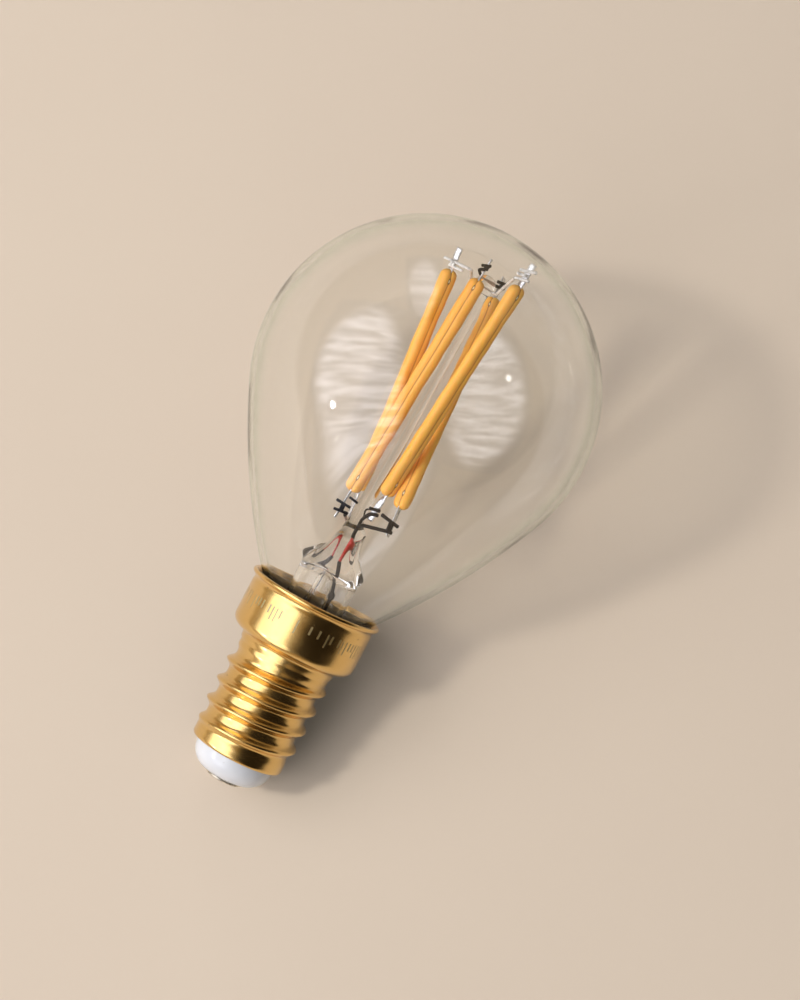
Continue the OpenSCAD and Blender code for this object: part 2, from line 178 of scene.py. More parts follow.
def swept(path, radius_at, sides=14):
    """Corners and faces of a round wire along a path, with slightly domed ends.
    radius_at(share, angle) gives its radius, with share going from 0 to 1 along the path."""
    lengths = np.cumsum([0] + [(b - a).length for a, b in zip(path, path[1:])])
    last = len(path) - 1
    tangents = [(path[min(i + 1, last)] - path[max(i - 1, 0)]).normalized() for i in range(last + 1)]
    side = tangents[0].orthogonal().normalized()
    corners, rings = [], []
    for i, (point, tangent) in enumerate(zip(path, tangents)):
        side = (side - tangent * side.dot(tangent)).normalized()
        other = tangent.cross(side)
        rings.append(list(range(len(corners), len(corners) + sides)))
        for k in range(sides):
            angle = 2 * math.pi * k / sides
            r = radius_at(lengths[i] / lengths[-1], angle)
            corners.append(point + side * r * math.cos(angle) + other * r * math.sin(angle))
    for outward, end in ((-tangents[0], 0), (tangents[-1], -1)):
        corners.append(path[end] + outward * radius_at(abs(end), 0) * 0.4)
        cap = [len(corners) - 1] * sides
        rings = [cap] + rings if end == 0 else rings + [cap]
    return corners, bridged(list(zip(rings, rings[1:])), sides)


# %% [markdown]
# ## Putting a piece in its place
# A new piece rides on the lamp's one body and stands for the imported node of the same part.
# Before a mesh is laid down, each corner's upright place is kept on it in millimetres, so
# that the patterns of its material can be too.


# %% Make one piece from corners and faces
def keep_own_place(mesh, scale=1.0):
    """Stores each corner's place, times scale, for the materials to read."""
    places = np.empty(3 * len(mesh.vertices), np.float32)
    mesh.vertices.foreach_get("co", places)
    kept = mesh.attributes.new("own_mm", "FLOAT_VECTOR", "POINT")
    kept.data.foreach_set("vector", places * scale)


def make_piece(name, mesh_parts, material, node=None, place=lamp_place):
    """A named object from one or more (corners, faces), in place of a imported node."""
    mesh = bpy.data.meshes.new(name)
    corners, faces = [], []
    for part_corners, part_faces in mesh_parts:
        first = len(corners)
        corners += [tuple(c) for c in part_corners]
        faces += [[first + i for i in face] for face in part_faces]
    mesh.from_pydata(corners, [], faces)
    work = bmesh.new()
    work.from_mesh(mesh)
    bmesh.ops.recalc_face_normals(work, faces=work.faces)
    work.to_mesh(mesh)
    work.free()
    mesh.polygons.foreach_set("use_smooth", [True] * len(mesh.polygons))
    mesh.materials.append(material)
    keep_own_place(mesh)
    mesh.transform(place)
    piece = bpy.data.objects.new(name, mesh)
    bpy.context.scene.collection.objects.link(piece)
    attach(piece, "root")
    if node:
        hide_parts(node)
    print(f"{name}: {len(mesh.polygons)} faces")
    return piece


# %% [markdown]
# ## Shared finishes
# Real surfaces are never even, and several materials here share the same faults: slow
# unevenness, tiny specks, and fine lines from drawing or rolling. Each fault is one node
# group with named inputs, so that a material only says how much of it there is.


# %% Small helpers for node trees
def give(tree, socket, value):
    """Links an input to another node's socket, or sets it to a plain value."""
    if isinstance(value, bpy.types.NodeSocket):
        tree.links.new(value, socket)
    else:
        socket.default_value = value


def add_node(tree, kind, inputs=None, **settings):
    """A node with its settings, and its inputs linked to sockets or set to values."""
    node = tree.nodes.new(kind)
    for key, value in settings.items():
        setattr(node, key, value)
    for key, value in (inputs or {}).items():
        give(tree, node.inputs[key], value)
    return node


def math_node(tree, operation, first, second=0.0):
    """The result of one sum, with two numbers or sockets."""
    return add_node(tree, "ShaderNodeMath", {0: first, 1: second}, operation=operation).outputs[0]


def length_node(tree, first, second):
    """The straight distance to a point that is first along one axis and second along the other."""
    squares = math_node(tree, "ADD", math_node(tree, "MULTIPLY", first, first),
                        math_node(tree, "MULTIPLY", second, second))
    return math_node(tree, "SQRT", squares)


def ramp_node(tree, value, low, high, to_low=0.0, to_high=1.0):
    """value carried smoothly from the range low..high to the range to_low..to_high."""
    node = add_node(tree, "ShaderNodeMapRange",
                    {"Value": value, "From Min": low, "From Max": high, "To Min": to_low, "To Max": to_high},
                    interpolation_type="SMOOTHSTEP")
    return node.outputs["Result"]


def mix_colours(tree, share, first, second):
    """The first colour where share is 0, and the second where it is 1."""
    node = add_node(tree, "ShaderNodeMix", data_type="RGBA")
    # A mix node has its sockets once for each kind of value. 6, 7 and output 2 are the colours.
    for key, value in (("Factor", share), (6, first), (7, second)):
        give(tree, node.inputs[key], value)
    return node.outputs[2]


def start_group(name, inputs, outputs):
    """An empty shader group. inputs are (name, socket type, value) and outputs (name, type)."""
    tree = bpy.data.node_groups.new(name, "ShaderNodeTree")
    for label, kind, value in inputs:
        socket = tree.interface.new_socket(name=label, in_out="INPUT", socket_type=kind)
        if value is not None:
            socket.default_value = value
    for label, kind in outputs:
        tree.interface.new_socket(name=label, in_out="OUTPUT", socket_type=kind)
    print("node group:", name)
    return tree, tree.nodes.new("NodeGroupInput").outputs, tree.nodes.new("NodeGroupOutput").inputs


# %% Group: slow unevenness
def make_unevenness():
    """A slow rise and fall over the surface, with bumps about Size apart."""
    tree, given, result = start_group(
        "slow_unevenness",
        [("Place", "NodeSocketVector", None), ("Size", "NodeSocketFloat", 4.0),
         ("Detail", "NodeSocketFloat", 1.0)],
        [("Height", "NodeSocketFloat")])
    scale = math_node(tree, "DIVIDE", 1.0, given["Size"])
    noise = add_node(tree, "ShaderNodeTexNoise",
                     {"Vector": given["Place"], "Scale": scale, "Detail": given["Detail"]})
    tree.links.new(noise.outputs["Fac"], result["Height"])
    return tree


unevenness = make_unevenness()


# %% Group: specks
def make_specks():
    """Small separate dots about Spacing apart. Share is how much of its cell a dot may fill."""
    tree, given, result = start_group(
        "specks",
        [("Place", "NodeSocketVector", None), ("Spacing", "NodeSocketFloat", 1.0),
         ("Share", "NodeSocketFloat", 0.1)],
        [("Mask", "NodeSocketFloat")])
    scale = math_node(tree, "DIVIDE", 1.0, given["Spacing"])
    cells = add_node(tree, "ShaderNodeTexVoronoi", {"Vector": given["Place"], "Scale": scale})
    lucky = add_node(tree, "ShaderNodeSeparateColor", {"Color": cells.outputs["Color"]}).outputs["Red"]
    size = math_node(tree, "MULTIPLY", ramp_node(tree, lucky, 0.55, 1.0), given["Share"])
    inner = math_node(tree, "MULTIPLY", size, 0.6)
    dot = add_node(tree, "ShaderNodeMapRange",
                   {"Value": cells.outputs["Distance"], "From Min": size, "From Max": inner})
    tree.links.new(dot.outputs["Result"], result["Mask"])
    return tree


specks = make_specks()


# %% Group: fine lines
def make_fine_lines():
    """Thin streaks. The place is squeezed by Stretch, so that the noise is drawn out into lines."""
    tree, given, result = start_group(
        "fine_lines",
        [("Place", "NodeSocketVector", None), ("Stretch", "NodeSocketVector", (1, 1, 0.05)),
         ("Fineness", "NodeSocketFloat", 12.0)],
        [("Height", "NodeSocketFloat")])
    squeezed = add_node(tree, "ShaderNodeVectorMath", {0: given["Place"], 1: given["Stretch"]},
                        operation="MULTIPLY")
    noise = add_node(tree, "ShaderNodeTexNoise",
                     {"Vector": squeezed.outputs[0], "Scale": given["Fineness"], "Detail": 3.0})
    tree.links.new(noise.outputs["Fac"], result["Height"])
    return tree


fine_lines = make_fine_lines()


# %% Group: oxide
def make_oxide():
    """The dark skin on wire that was hot while it was sealed in: uneven, and worn thin in places."""
    tree, given, result = start_group(
        "oxide",
        [("Place", "NodeSocketVector", None), ("Metal", "NodeSocketColor", (0.4, 0.38, 0.36, 1)),
         ("Oxide", "NodeSocketColor", (0.02, 0.018, 0.02, 1)), ("Cover", "NodeSocketFloat", 0.7)],
        [("Color", "NodeSocketColor"), ("Roughness", "NodeSocketFloat"), ("Height", "NodeSocketFloat")])
    noise = add_node(tree, "ShaderNodeTexNoise",
                     {"Vector": given["Place"], "Scale": 2.2, "Detail": 5.0, "Roughness": 0.7}).outputs["Fac"]
    edge = math_node(tree, "SUBTRACT", 1.0, given["Cover"])
    above = math_node(tree, "SUBTRACT", noise, math_node(tree, "MULTIPLY", edge, 0.8))
    covered = ramp_node(tree, above, 0.05, 0.25)
    tree.links.new(mix_colours(tree, covered, given["Metal"], given["Oxide"]), result["Color"])
    tree.links.new(ramp_node(tree, covered, 0, 1, 0.3, 0.62), result["Roughness"])
    tree.links.new(noise, result["Height"])
    return tree


oxide = make_oxide()


# %% [markdown]
# ## How each material starts
# Every finish here begins the same way: one Principled shader that feeds the output, and the
# piece's own place in millimetres to lay patterns on. A pattern tied to the piece stays on it
# when the lamp is moved, which a pattern tied to the floor would not. Small helpers for this
# keep each material down to what is special about it.


# %% Start a material
def start_material(name):
    """A new material, its tree, and a Principled shader that feeds its output."""
    material = bpy.data.materials.new(name)
    material.use_nodes = True
    tree = material.node_tree
    tree.nodes.clear()
    shader = add_node(tree, "ShaderNodeBsdfPrincipled")
    add_node(tree, "ShaderNodeOutputMaterial", {"Surface": shader.outputs[0]})
    print("material:", name)
    return material, tree, shader


def show_instead(tree, surface):
    """Feeds the output with this shader, in place of the Principled one."""
    tree.links.new(surface, tree.nodes["Material Output"].inputs["Surface"])


def own_place(tree):
    """The place on the piece, in millimetres."""
    return add_node(tree, "ShaderNodeAttribute", attribute_name="own_mm").outputs["Vector"]


def group_in(tree, group, **inputs):
    """One of the shared groups placed in a material."""
    return add_node(tree, "ShaderNodeGroup", inputs, node_tree=group).outputs


def bump_in(tree, shader, height, depth):
    """Lets height tilt the shader's normal, as if it were depth metres deep."""
    bump = add_node(tree, "ShaderNodeBump", {"Height": height, "Distance": depth, "Strength": 1.0})
    tree.links.new(bump.outputs[0], shader.inputs["Normal"])


# %% [markdown]
# ## Glass
# Thin blown glass is clear, and its edges look darker only because they bend what is behind
# them. So the shell has a true inside and outside, and the shader bends light. Lamps can't
# shine through such glass in a path tracer without much noise. The usual way round is used:
# a ray on its way to a lamp, or off a matt surface, meets a plain clear surface instead. On
# its way to a lamp that surface is greyer at a grazing angle, which gives the pale shadow
# with a darker edge that glass throws. The stem's glass bends light a little less than it
# should (1.42 instead of about 1.5), so that the wires inside it stay readable.


# %% Material: clear glass
def make_glass(name, clear_tint, edge_tint, shade, wave, wave_size, ior=1.5):
    """Clear glass with clear_tint face on, edge_tint at a grazing angle and shade in its shadow.
    wave is how deep its unevenness is, in metres, and wave_size how wide, in millimetres."""
    material, tree, shader = start_material(name)
    facing = add_node(tree, "ShaderNodeLayerWeight", {"Blend": 0.35}).outputs["Facing"]
    at_edge = ramp_node(tree, facing, 0.45, 0.9)
    tree.links.new(mix_colours(tree, at_edge, clear_tint, edge_tint), shader.inputs["Base Color"])
    shader.inputs["Roughness"].default_value = 0.0
    shader.inputs["IOR"].default_value = ior
    shader.inputs["Transmission Weight"].default_value = 1.0
    height = group_in(tree, unevenness, Place=own_place(tree), Size=wave_size)["Height"]
    bump_in(tree, shader, height, wave)
    nearly_clear = (0.985, 0.985, 0.98, 1)
    shaded = add_node(tree, "ShaderNodeBsdfTransparent",
                      {"Color": mix_colours(tree, facing, nearly_clear, shade)})
    clear = add_node(tree, "ShaderNodeBsdfTransparent", {"Color": nearly_clear})
    paths = add_node(tree, "ShaderNodeLightPath").outputs
    to_lamp = add_node(tree, "ShaderNodeMixShader",
                       {0: paths["Is Shadow Ray"], 1: shader.outputs[0], 2: shaded.outputs[0]})
    to_room = add_node(tree, "ShaderNodeMixShader",
                       {0: paths["Is Diffuse Ray"], 1: to_lamp.outputs[0], 2: clear.outputs[0]})
    show_instead(tree, to_room.outputs[0])
    return material


bulb_glass = make_glass(
    "blown_glass", clear_tint=(0.99, 0.995, 0.985, 1), edge_tint=(0.50, 0.68, 0.50, 1),
    shade=(0.50, 0.50, 0.48, 1), wave=0.00004, wave_size=9.0)
stem_clear = make_glass(
    "stem_clear_glass", clear_tint=(0.985, 0.985, 0.975, 1), edge_tint=(0.93, 0.93, 0.90, 1),
    shade=(0.85, 0.85, 0.83, 1), wave=0.00005, wave_size=1.8, ior=1.42)

# %% [markdown]
# ## Brass
# The cap is thin brass, rolled and polished, so it mirrors the room with a warm tint. A thin
# clear coat over it, like the lacquer that keeps brass bright, adds the white in its
# brightest reflections. Two things keep it from looking like plastic: the fine lines that
# run round it, and the marks etched in its skirt. The marks are plain bars of several
# widths. They are matt, so they show dark on a bright reflection and pale on a dark one.


# %% Group: bars etched round a band
# Each bar has a random number from 0 to 1. It sets the bar's width, leaves the bar out if it
# isn't above KEPT_ABOVE, and makes it start SHORT_BY higher if it is above SHORT_ABOVE.
BAR_PITCH = 0.62
BAR_START, BAR_THIN, BAR_EXTRA = 0.15, 0.2, 0.26  # shares of the pitch
KEPT_ABOVE, SHORT_ABOVE = 0.24, 0.62
SHORT_BY = 0.7


def make_etched_bars():
    """Bars of changing width round the z axis, between two heights. Some are short or left out."""
    tree, given, result = start_group(
        "etched_bars",
        [("Place", "NodeSocketVector", None), ("Radius", "NodeSocketFloat", 8.5),
         ("Low", "NodeSocketFloat", 0.0), ("High", "NodeSocketFloat", 1.0)],
        [("Mask", "NodeSocketFloat")])
    axes = add_node(tree, "ShaderNodeSeparateXYZ", {"Vector": given["Place"]}).outputs
    turn = math_node(tree, "MULTIPLY", math_node(tree, "ARCTAN2", axes["Y"], axes["X"]), given["Radius"])
    cell = math_node(tree, "DIVIDE", turn, BAR_PITCH)
    number = math_node(tree, "FLOOR", cell)
    within = math_node(tree, "FRACT", cell)
    chance = add_node(tree, "ShaderNodeTexWhiteNoise", {"W": number}, noise_dimensions="1D").outputs["Value"]
    width = math_node(tree, "ADD", math_node(tree, "MULTIPLY", chance, BAR_EXTRA), BAR_THIN)
    left = math_node(tree, "GREATER_THAN", within, BAR_START)
    right = math_node(tree, "LESS_THAN", within, math_node(tree, "ADD", width, BAR_START))
    kept = math_node(tree, "GREATER_THAN", chance, KEPT_ABOVE)
    bar = math_node(tree, "MULTIPLY", math_node(tree, "MULTIPLY", left, right), kept)
    lift = math_node(tree, "MULTIPLY", math_node(tree, "GREATER_THAN", chance, SHORT_ABOVE), SHORT_BY)
    above = math_node(tree, "GREATER_THAN", axes["Z"], math_node(tree, "ADD", given["Low"], lift))
    below = math_node(tree, "LESS_THAN", axes["Z"], given["High"])
    mask = math_node(tree, "MULTIPLY", bar, math_node(tree, "MULTIPLY", above, below))
    tree.links.new(mask, result["Mask"])
    return tree


etched_bars = make_etched_bars()


# %% Material: cap brass
def make_brass():
    """Polished brass with etched bars, a few dark specks and a clear coat."""
    material, tree, shader = start_material("rolled_brass")
    place = own_place(tree)
    marks = group_in(tree, etched_bars, Place=place, Radius=skirt_r,
                     Low=rim_z - 4.4, High=rim_z - 2.6)["Mask"]
    dirt = group_in(tree, specks, Place=place, Spacing=1.3, Share=0.09)["Mask"]
    slow = group_in(tree, unevenness, Place=place, Size=3.0, Detail=3.0)["Height"]
    lines = group_in(tree, fine_lines, Place=place, Stretch=(0.08, 0.08, 1.0), Fineness=4.0)["Height"]
    warm = mix_colours(tree, slow, (0.78, 0.50, 0.16, 1), (0.85, 0.58, 0.215, 1))
    marked = mix_colours(tree, marks, warm, (0.50, 0.40, 0.20, 1))
    tree.links.new(mix_colours(tree, dirt, marked, (0.05, 0.035, 0.02, 1)), shader.inputs["Base Color"])
    shader.inputs["Metallic"].default_value = 1.0
    shader.inputs["Coat Weight"].default_value = 0.45
    shader.inputs["Coat Roughness"].default_value = 0.12
    polish = ramp_node(tree, slow, 0.3, 0.7, 0.2, 0.27)
    etched = math_node(tree, "MAXIMUM", polish, math_node(tree, "MULTIPLY", marks, 0.55))
    soiled = math_node(tree, "MAXIMUM", etched, math_node(tree, "MULTIPLY", dirt, 0.7))
    tree.links.new(soiled, shader.inputs["Roughness"])
    sunk = math_node(tree, "SUBTRACT", math_node(tree, "MULTIPLY", lines, 0.5), marks)
    bump_in(tree, shader, sunk, 0.000008)
    return material


cap_brass = make_brass()

# %% [markdown]
# ## The coating on the filaments
# Each filament is a metal strip with a soft yellow coating on both faces. The coating is
# silicone full of phosphor powder: matt to satin, bright orange, and a little see-through
# at its skin, so light softens inside it. A thin brown line runs down each edge, where the
# two coatings meet at the strip. Near each end of that line is the small ring of a bond.


# %% Material: phosphor coating
MARK_FROM_END = 2.0
MARK_LONG, MARK_WIDE = 0.42, 0.17  # half the length and half the width of a bond's ring


def make_coating(length):
    """The coating of a filament of this length. Bond marks sit on its seam, near both ends."""
    material, tree, shader = start_material("phosphor_coating")
    place = own_place(tree)
    axes = add_node(tree, "ShaderNodeSeparateXYZ", {"Vector": place}).outputs
    slow = group_in(tree, unevenness, Place=place, Size=1.6, Detail=4.0)["Height"]
    grain = group_in(tree, specks, Place=place, Spacing=0.16, Share=0.22)["Mask"]
    body = mix_colours(tree, slow, (0.94, 0.43, 0.06, 1), (0.95, 0.51, 0.10, 1))
    grained = mix_colours(tree, math_node(tree, "MULTIPLY", grain, 0.35), body, (1.0, 0.62, 0.22, 1))
    to_edge = math_node(tree, "ABSOLUTE", axes["Y"])
    wander = math_node(tree, "MULTIPLY", slow, 0.05)
    seam = ramp_node(tree, math_node(tree, "SUBTRACT", to_edge, wander), 0.075, 0.01)
    seamed = mix_colours(tree, math_node(tree, "MULTIPLY", seam, 0.7), grained, (0.42, 0.13, 0.02, 1))
    from_end = math_node(tree, "MINIMUM", axes["Z"], math_node(tree, "SUBTRACT", length, axes["Z"]))
    mark_up = math_node(tree, "DIVIDE", math_node(tree, "SUBTRACT", from_end, MARK_FROM_END), MARK_LONG)
    mark_side = math_node(tree, "DIVIDE", axes["Y"], MARK_WIDE)
    mark_at = length_node(tree, mark_up, mark_side)
    ring = math_node(tree, "MULTIPLY", ramp_node(tree, mark_at, 0.55, 0.75),
                     ramp_node(tree, mark_at, 1.1, 0.9))
    marked = mix_colours(tree, ring, seamed, (0.10, 0.045, 0.012, 1))
    window = ramp_node(tree, mark_at, 0.6, 0.4)
    tree.links.new(mix_colours(tree, window, marked, (0.85, 0.72, 0.5, 1)), shader.inputs["Base Color"])
    shader.inputs["Roughness"].default_value = 0.42
    shader.inputs["Subsurface Weight"].default_value = 0.5
    shader.inputs["Subsurface Radius"].default_value = (1.0, 0.5, 0.15)
    shader.inputs["Subsurface Scale"].default_value = 0.0006
    bump_in(tree, shader, math_node(tree, "ADD", slow, math_node(tree, "MULTIPLY", grain, 0.15)), 0.00005)
    return material


coating_points = lamp_points("phosphor_1")
corner_to_corner = float(np.linalg.norm(coating_points.max(0) - coating_points.min(0)))
thick_extra = 0.12  # how much longer the diagonal of its box is than a filament, because it is thick
coating = make_coating(corner_to_corner - thick_extra)

# %% [markdown]
# ## Metals inside the bulb
# The strips and the front anchor are still bright. The wires near the stem were in the
# flame when it was pressed, so they are black with oxide, and the short seal wires in the
# glass are red, as copper-coated wire is once it has been sealed. Two makers cover them all:
# bright metal with fine lines, and metal under a dark skin that can start some way from a
# point.


# %% Materials: bright and oxidised wire
def make_bright_metal(name, colour, rough, stretch, metallic=1.0):
    """Bright metal with duller patches. stretch draws its fine lines out, as in the fine_lines group."""
    material, tree, shader = start_material(name)
    place = own_place(tree)
    lines = group_in(tree, fine_lines, Place=place, Stretch=stretch, Fineness=7.0)["Height"]
    slow = group_in(tree, unevenness, Place=place, Size=0.7, Detail=3.0)["Height"]
    darker = tuple(0.55 * c for c in colour[:3]) + (1,)
    patched = mix_colours(tree, ramp_node(tree, slow, 0.45, 0.7), colour, darker)
    tree.links.new(patched, shader.inputs["Base Color"])
    shader.inputs["Metallic"].default_value = metallic
    tree.links.new(ramp_node(tree, lines, 0.3, 0.7, rough - 0.08, rough + 0.12), shader.inputs["Roughness"])
    bump_in(tree, shader, lines, 0.00001)
    return material


def make_oxidised(name, metal, skin, cover, metallic=0.6, clean=None):
    """Metal with an oxide skin. clean is (point, near, far): the metal is bare at that point, and
    the skin comes in from near to far millimetres away from it."""
    material, tree, shader = start_material(name)
    place = own_place(tree)
    if clean:
        point, near, far = clean
        away = add_node(tree, "ShaderNodeVectorMath", {0: place, 1: point}, operation="DISTANCE")
        cover = ramp_node(tree, away.outputs["Value"], near, far, 0.0, cover)
    skinned = group_in(tree, oxide, Place=place, Metal=metal, Oxide=skin, Cover=cover)
    tree.links.new(skinned["Color"], shader.inputs["Base Color"])
    tree.links.new(skinned["Roughness"], shader.inputs["Roughness"])
    shader.inputs["Metallic"].default_value = metallic
    bump_in(tree, shader, skinned["Height"], 0.00006)
    return material


ALONG_Z = (1, 1, 0.1)  # squeezes the z axis, so that lines run along it
OXIDE_BLACK = (0.018, 0.016, 0.018, 1)
strip_metal = make_bright_metal("strip_metal", (0.90, 0.90, 0.92, 1), 0.32, ALONG_Z)
anchor_bright = make_bright_metal("anchor_bright_wire", (0.95, 0.92, 0.88, 1), 0.4, (1, 1, 0.3), 0.45)
black_wire = make_oxidised("oxidised_wire", (0.16, 0.14, 0.13, 1), OXIDE_BLACK, cover=0.9)
grey_wire = make_oxidised("half_oxidised_wire", (0.34, 0.27, 0.24, 1), (0.05, 0.04, 0.038, 1), cover=0.72)
red_wire = make_oxidised("red_seal_wire", (0.47, 0.014, 0.010, 1), (0.24, 0.007, 0.005, 1), cover=0.4,
                         metallic=0.1)

# %% [markdown]
# ## Insulator, contact, cement and driver
# The insulator at the cap's end is a pale glossy moulding, and the contact is plated metal
# with fine lines from pressing. The cement's dark brown is partly its own colour and partly
# painted shade: it is darkened to stand for the shade inside the rim, where it shows through
# the glass neck. The driver's parts are shut in the cap and can't be seen, but each still
# gets a plain finish of its own kind.


# %% Material: white insulator
def make_insulator():
    """Glossy grey-white, with a few brown specks."""
    material, tree, shader = start_material("white_insulator")
    place = own_place(tree)
    slow = group_in(tree, unevenness, Place=place, Size=2.5, Detail=3.0)["Height"]
    dust = group_in(tree, specks, Place=place, Spacing=0.9, Share=0.07)["Mask"]
    body = mix_colours(tree, slow, (0.62, 0.63, 0.65, 1), (0.69, 0.70, 0.71, 1))
    tree.links.new(mix_colours(tree, dust, body, (0.35, 0.3, 0.25, 1)), shader.inputs["Base Color"])
    tree.links.new(ramp_node(tree, slow, 0.3, 0.7, 0.14, 0.24), shader.inputs["Roughness"])
    bump_in(tree, shader, slow, 0.00002)
    return material


white_insulator = make_insulator()


# %% Materials: plain finishes for the hidden parts
def make_plain(name, colour, second, rough, size, metallic=0.0):
    """An even body colour that drifts slowly to a second one, with a faint grain."""
    material, tree, shader = start_material(name)
    place = own_place(tree)
    slow = group_in(tree, unevenness, Place=place, Size=size, Detail=3.0)["Height"]
    grain = group_in(tree, specks, Place=place, Spacing=size * 0.3, Share=0.3)["Mask"]
    tree.links.new(mix_colours(tree, slow, colour, second), shader.inputs["Base Color"])
    shader.inputs["Metallic"].default_value = metallic
    tree.links.new(ramp_node(tree, slow, 0.3, 0.7, rough - 0.06, rough + 0.06), shader.inputs["Roughness"])
    bump_in(tree, shader, math_node(tree, "ADD", slow, math_node(tree, "MULTIPLY", grain, 0.3)), 0.00003)
    return material


# Painted shade: the cement's real brown is made darker to stand for the shade inside the cap's rim, seen
# through the glass neck.
cement_brown_and_painted_shade = make_plain("cap_cement_and_painted_shade", (0.17, 0.13, 0.08, 1), (0.24, 0.19, 0.12, 1), 0.9, 1.2)
plated = make_bright_metal("plated_contact", (0.78, 0.72, 0.6, 1), 0.3, (1, 0.15, 1))
board_green = make_plain("board_green", (0.03, 0.16, 0.05, 1), (0.05, 0.22, 0.08, 1), 0.4, 1.5)
can_sleeve = make_plain("can_sleeve", (0.02, 0.02, 0.035, 1), (0.04, 0.04, 0.06, 1), 0.3, 2.0)
black_moulding = make_plain("black_moulding", (0.02, 0.02, 0.02, 1), (0.035, 0.035, 0.035, 1), 0.55, 0.8)
tinned_packed = make_plain("tinned_lead", (0.7, 0.7, 0.7, 1), (0.8, 0.8, 0.8, 1), 0.3, 0.8, 1.0)

# %% [markdown]
# ## The blown bulb
# The ball runs into a long shallow arc, which meets the cap's rim a little wider than the
# neck. The same outline drawn twice, once set in by the wall's thickness, makes a shell
# with a true inside. Blown glass is never quite round, so the radius wanders by a hundredth.

# %% Outline of the glass
# The straight line from the rim that just touches the ball gives a place on it. The long arc
# joins the ball a little past that, at the angle join, and its radius is longer by that much
# than the ball's, so that it meets the rim.
rim_r = neck_r + 0.35
rise = ball_z - rim_z
past_tangent = math.radians(8.3)
join = math.atan2(rim_r, rise) + math.acos(ball_r / math.hypot(rim_r, rise)) + past_tangent
reach = rim_r * math.sin(join) + rise * math.cos(join)
longer = (ball_r**2 - rim_r**2 - rise**2) / (2 * (reach - ball_r))
long_centre = (-longer * math.sin(join), ball_z + longer * math.cos(join))
print(f"the long arc has a radius of {ball_r + longer:.1f} mm")


def glass_outline(inset, neck):
    """(radius, z) from the neck's edge up to the top of the ball, set in from the outer face."""
    long_r = ball_r + longer - inset
    first = math.degrees(math.asin((rim_z - 0.45 - long_centre[1]) / long_r))
    meeting = math.degrees(join) - 90
    return ([(neck, neck_z), (neck, neck_z + 2), (neck, neck_z + 4), (neck, rim_z - 1.3)]
            + arc_points(long_centre, long_r, first, meeting, 34)
            + arc_points((0, ball_z), ball_r - inset, meeting, 90, 96)[1:-1]
            + [(0, ball_z + ball_r - inset)])


def blown_wander(radius, z, angle):
    """The radius with a slow unevenness, which fades out at the neck and at the top."""
    free = min(1, max(0, (z - rim_z) / 12)) * min(1, radius / 6)
    wander = math.sin(2 * angle + 0.11 * z) + 0.6 * math.sin(3 * angle - 0.23 * z)
    return radius + 0.012 * free * wander


# %% Build the bulb
shell = glass_outline(0, neck_r) + glass_outline(glass_t, flare_r)[::-1]
make_piece("bulb", [turned(shell, 176, blown_wander, loop=True)], bulb_glass, "glass_bulb")

# %% [markdown]
# ## The stem
# The stem starts as a tube, flared and sealed into the neck. Its top is pressed flat round
# the seal wires while it is soft, which leaves a thick ridge down each shoulder. The rod
# with its button stands on the press. All that is one lump of glass, so it is one mesh.

# %% Sizes of the stem
foot_h = 1.7  # height of the rod's wide foot on the press
flat_h = 2.0  # height of the press where it is flat
narrow_h = 3.6  # height over which the tube narrows to that
stem_points = lamp_points("stem_glass")
rod_points = lamp_points("support_rod")
stem_r = np.abs(stem_points[stem_points[:, 2] > rim_z, 1]).max()
top_z = stem_points[:, 2].max() - foot_h
flat_z = top_z - flat_h
press_z = flat_z - narrow_h
button_r = 1.45
button_z = rod_points[:, 2].max() - button_r
button_side = rod_points[rod_points[:, 2] > button_z, 0]
button_x = (button_side.min() + button_side.max()) / 2
rod_foot_x = -0.2
rod_r = 0.95
print(f"stem radius {stem_r:.2f}, press {press_z:.1f} to {top_z:.1f}")
print(f"button at x {button_x:.2f}, z {button_z:.2f}")


# %% Sections of the stem, the press and the rod
def smooth_rows(rows, count):
    """Rows of numbers with smooth steps between them, by a curve through every row."""
    rows = np.array(rows, float)
    padded_rows = np.vstack([2 * rows[0] - rows[1], rows, 2 * rows[-1] - rows[-2]])
    smooth = []
    for a, b, c, d in zip(padded_rows, padded_rows[1:], padded_rows[2:], padded_rows[3:]):
        for t in np.arange(count) / count:
            bend = 2 * a - 5 * b + 4 * c - d + t * (3 * b - a - 3 * c + d)
            smooth.append(b + 0.5 * t * (c - a + t * bend))
    return smooth + [rows[-1]]


def rod_x(z):
    """Where the leaning rod's middle is at this height."""
    return rod_foot_x + (button_x - rod_foot_x) * (z - top_z) / (button_z - top_z)


# Each row is (z, middle x, half width, half depth, squareness).
tube_rows = [
    (neck_z, 0, flare_r - 0.02, flare_r - 0.02, 2), (neck_z + 0.5, 0, flare_r - 0.02, flare_r - 0.02, 2),
    (neck_z + 1.2, 0, flare_r - 0.55, flare_r - 0.55, 2), (neck_z + 2.0, 0, flare_r - 1.3, flare_r - 1.3, 2),
    (neck_z + 3.6, 0, stem_r + 0.3, stem_r + 0.3, 2), (neck_z + 5.2, 0, stem_r, stem_r, 2),
    (press_z - 2.0, 0, stem_r, stem_r, 2), (press_z - 0.4, 0, stem_r, stem_r, 2)]
press_rows = [
    (press_z + 0.4, 0, stem_r - 0.12, stem_r - 0.02, 2.1), (press_z + 1.2, 0.02, 3.35, stem_r - 0.05, 2.5),
    (press_z + 2.2, 0.05, 2.6, stem_r - 0.05, 3.4), (flat_z, 0.1, 1.95, stem_r - 0.05, 4.6),
    (top_z - 1.0, 0.12, 1.7, stem_r - 0.1, 4.8), (top_z - 0.35, 0.15, 1.6, 3.75, 4.0),
    (top_z + 0.05, 0.22, 1.6, 3.1, 2.9), (top_z + 0.4, 0.28, 1.62, 2.2, 2.3),
    (top_z + 0.9, 0.25, 1.62, 1.5, 2), (top_z + 1.4, 0.0, 1.3, 1.2, 2), (top_z + 2.0, -0.14, 1.02, 1.02, 2)]
rod_rows = [(z, rod_x(z), rod_r, rod_r, 2) for z in np.linspace(top_z + 2.8, button_z - 2.2, 9)]
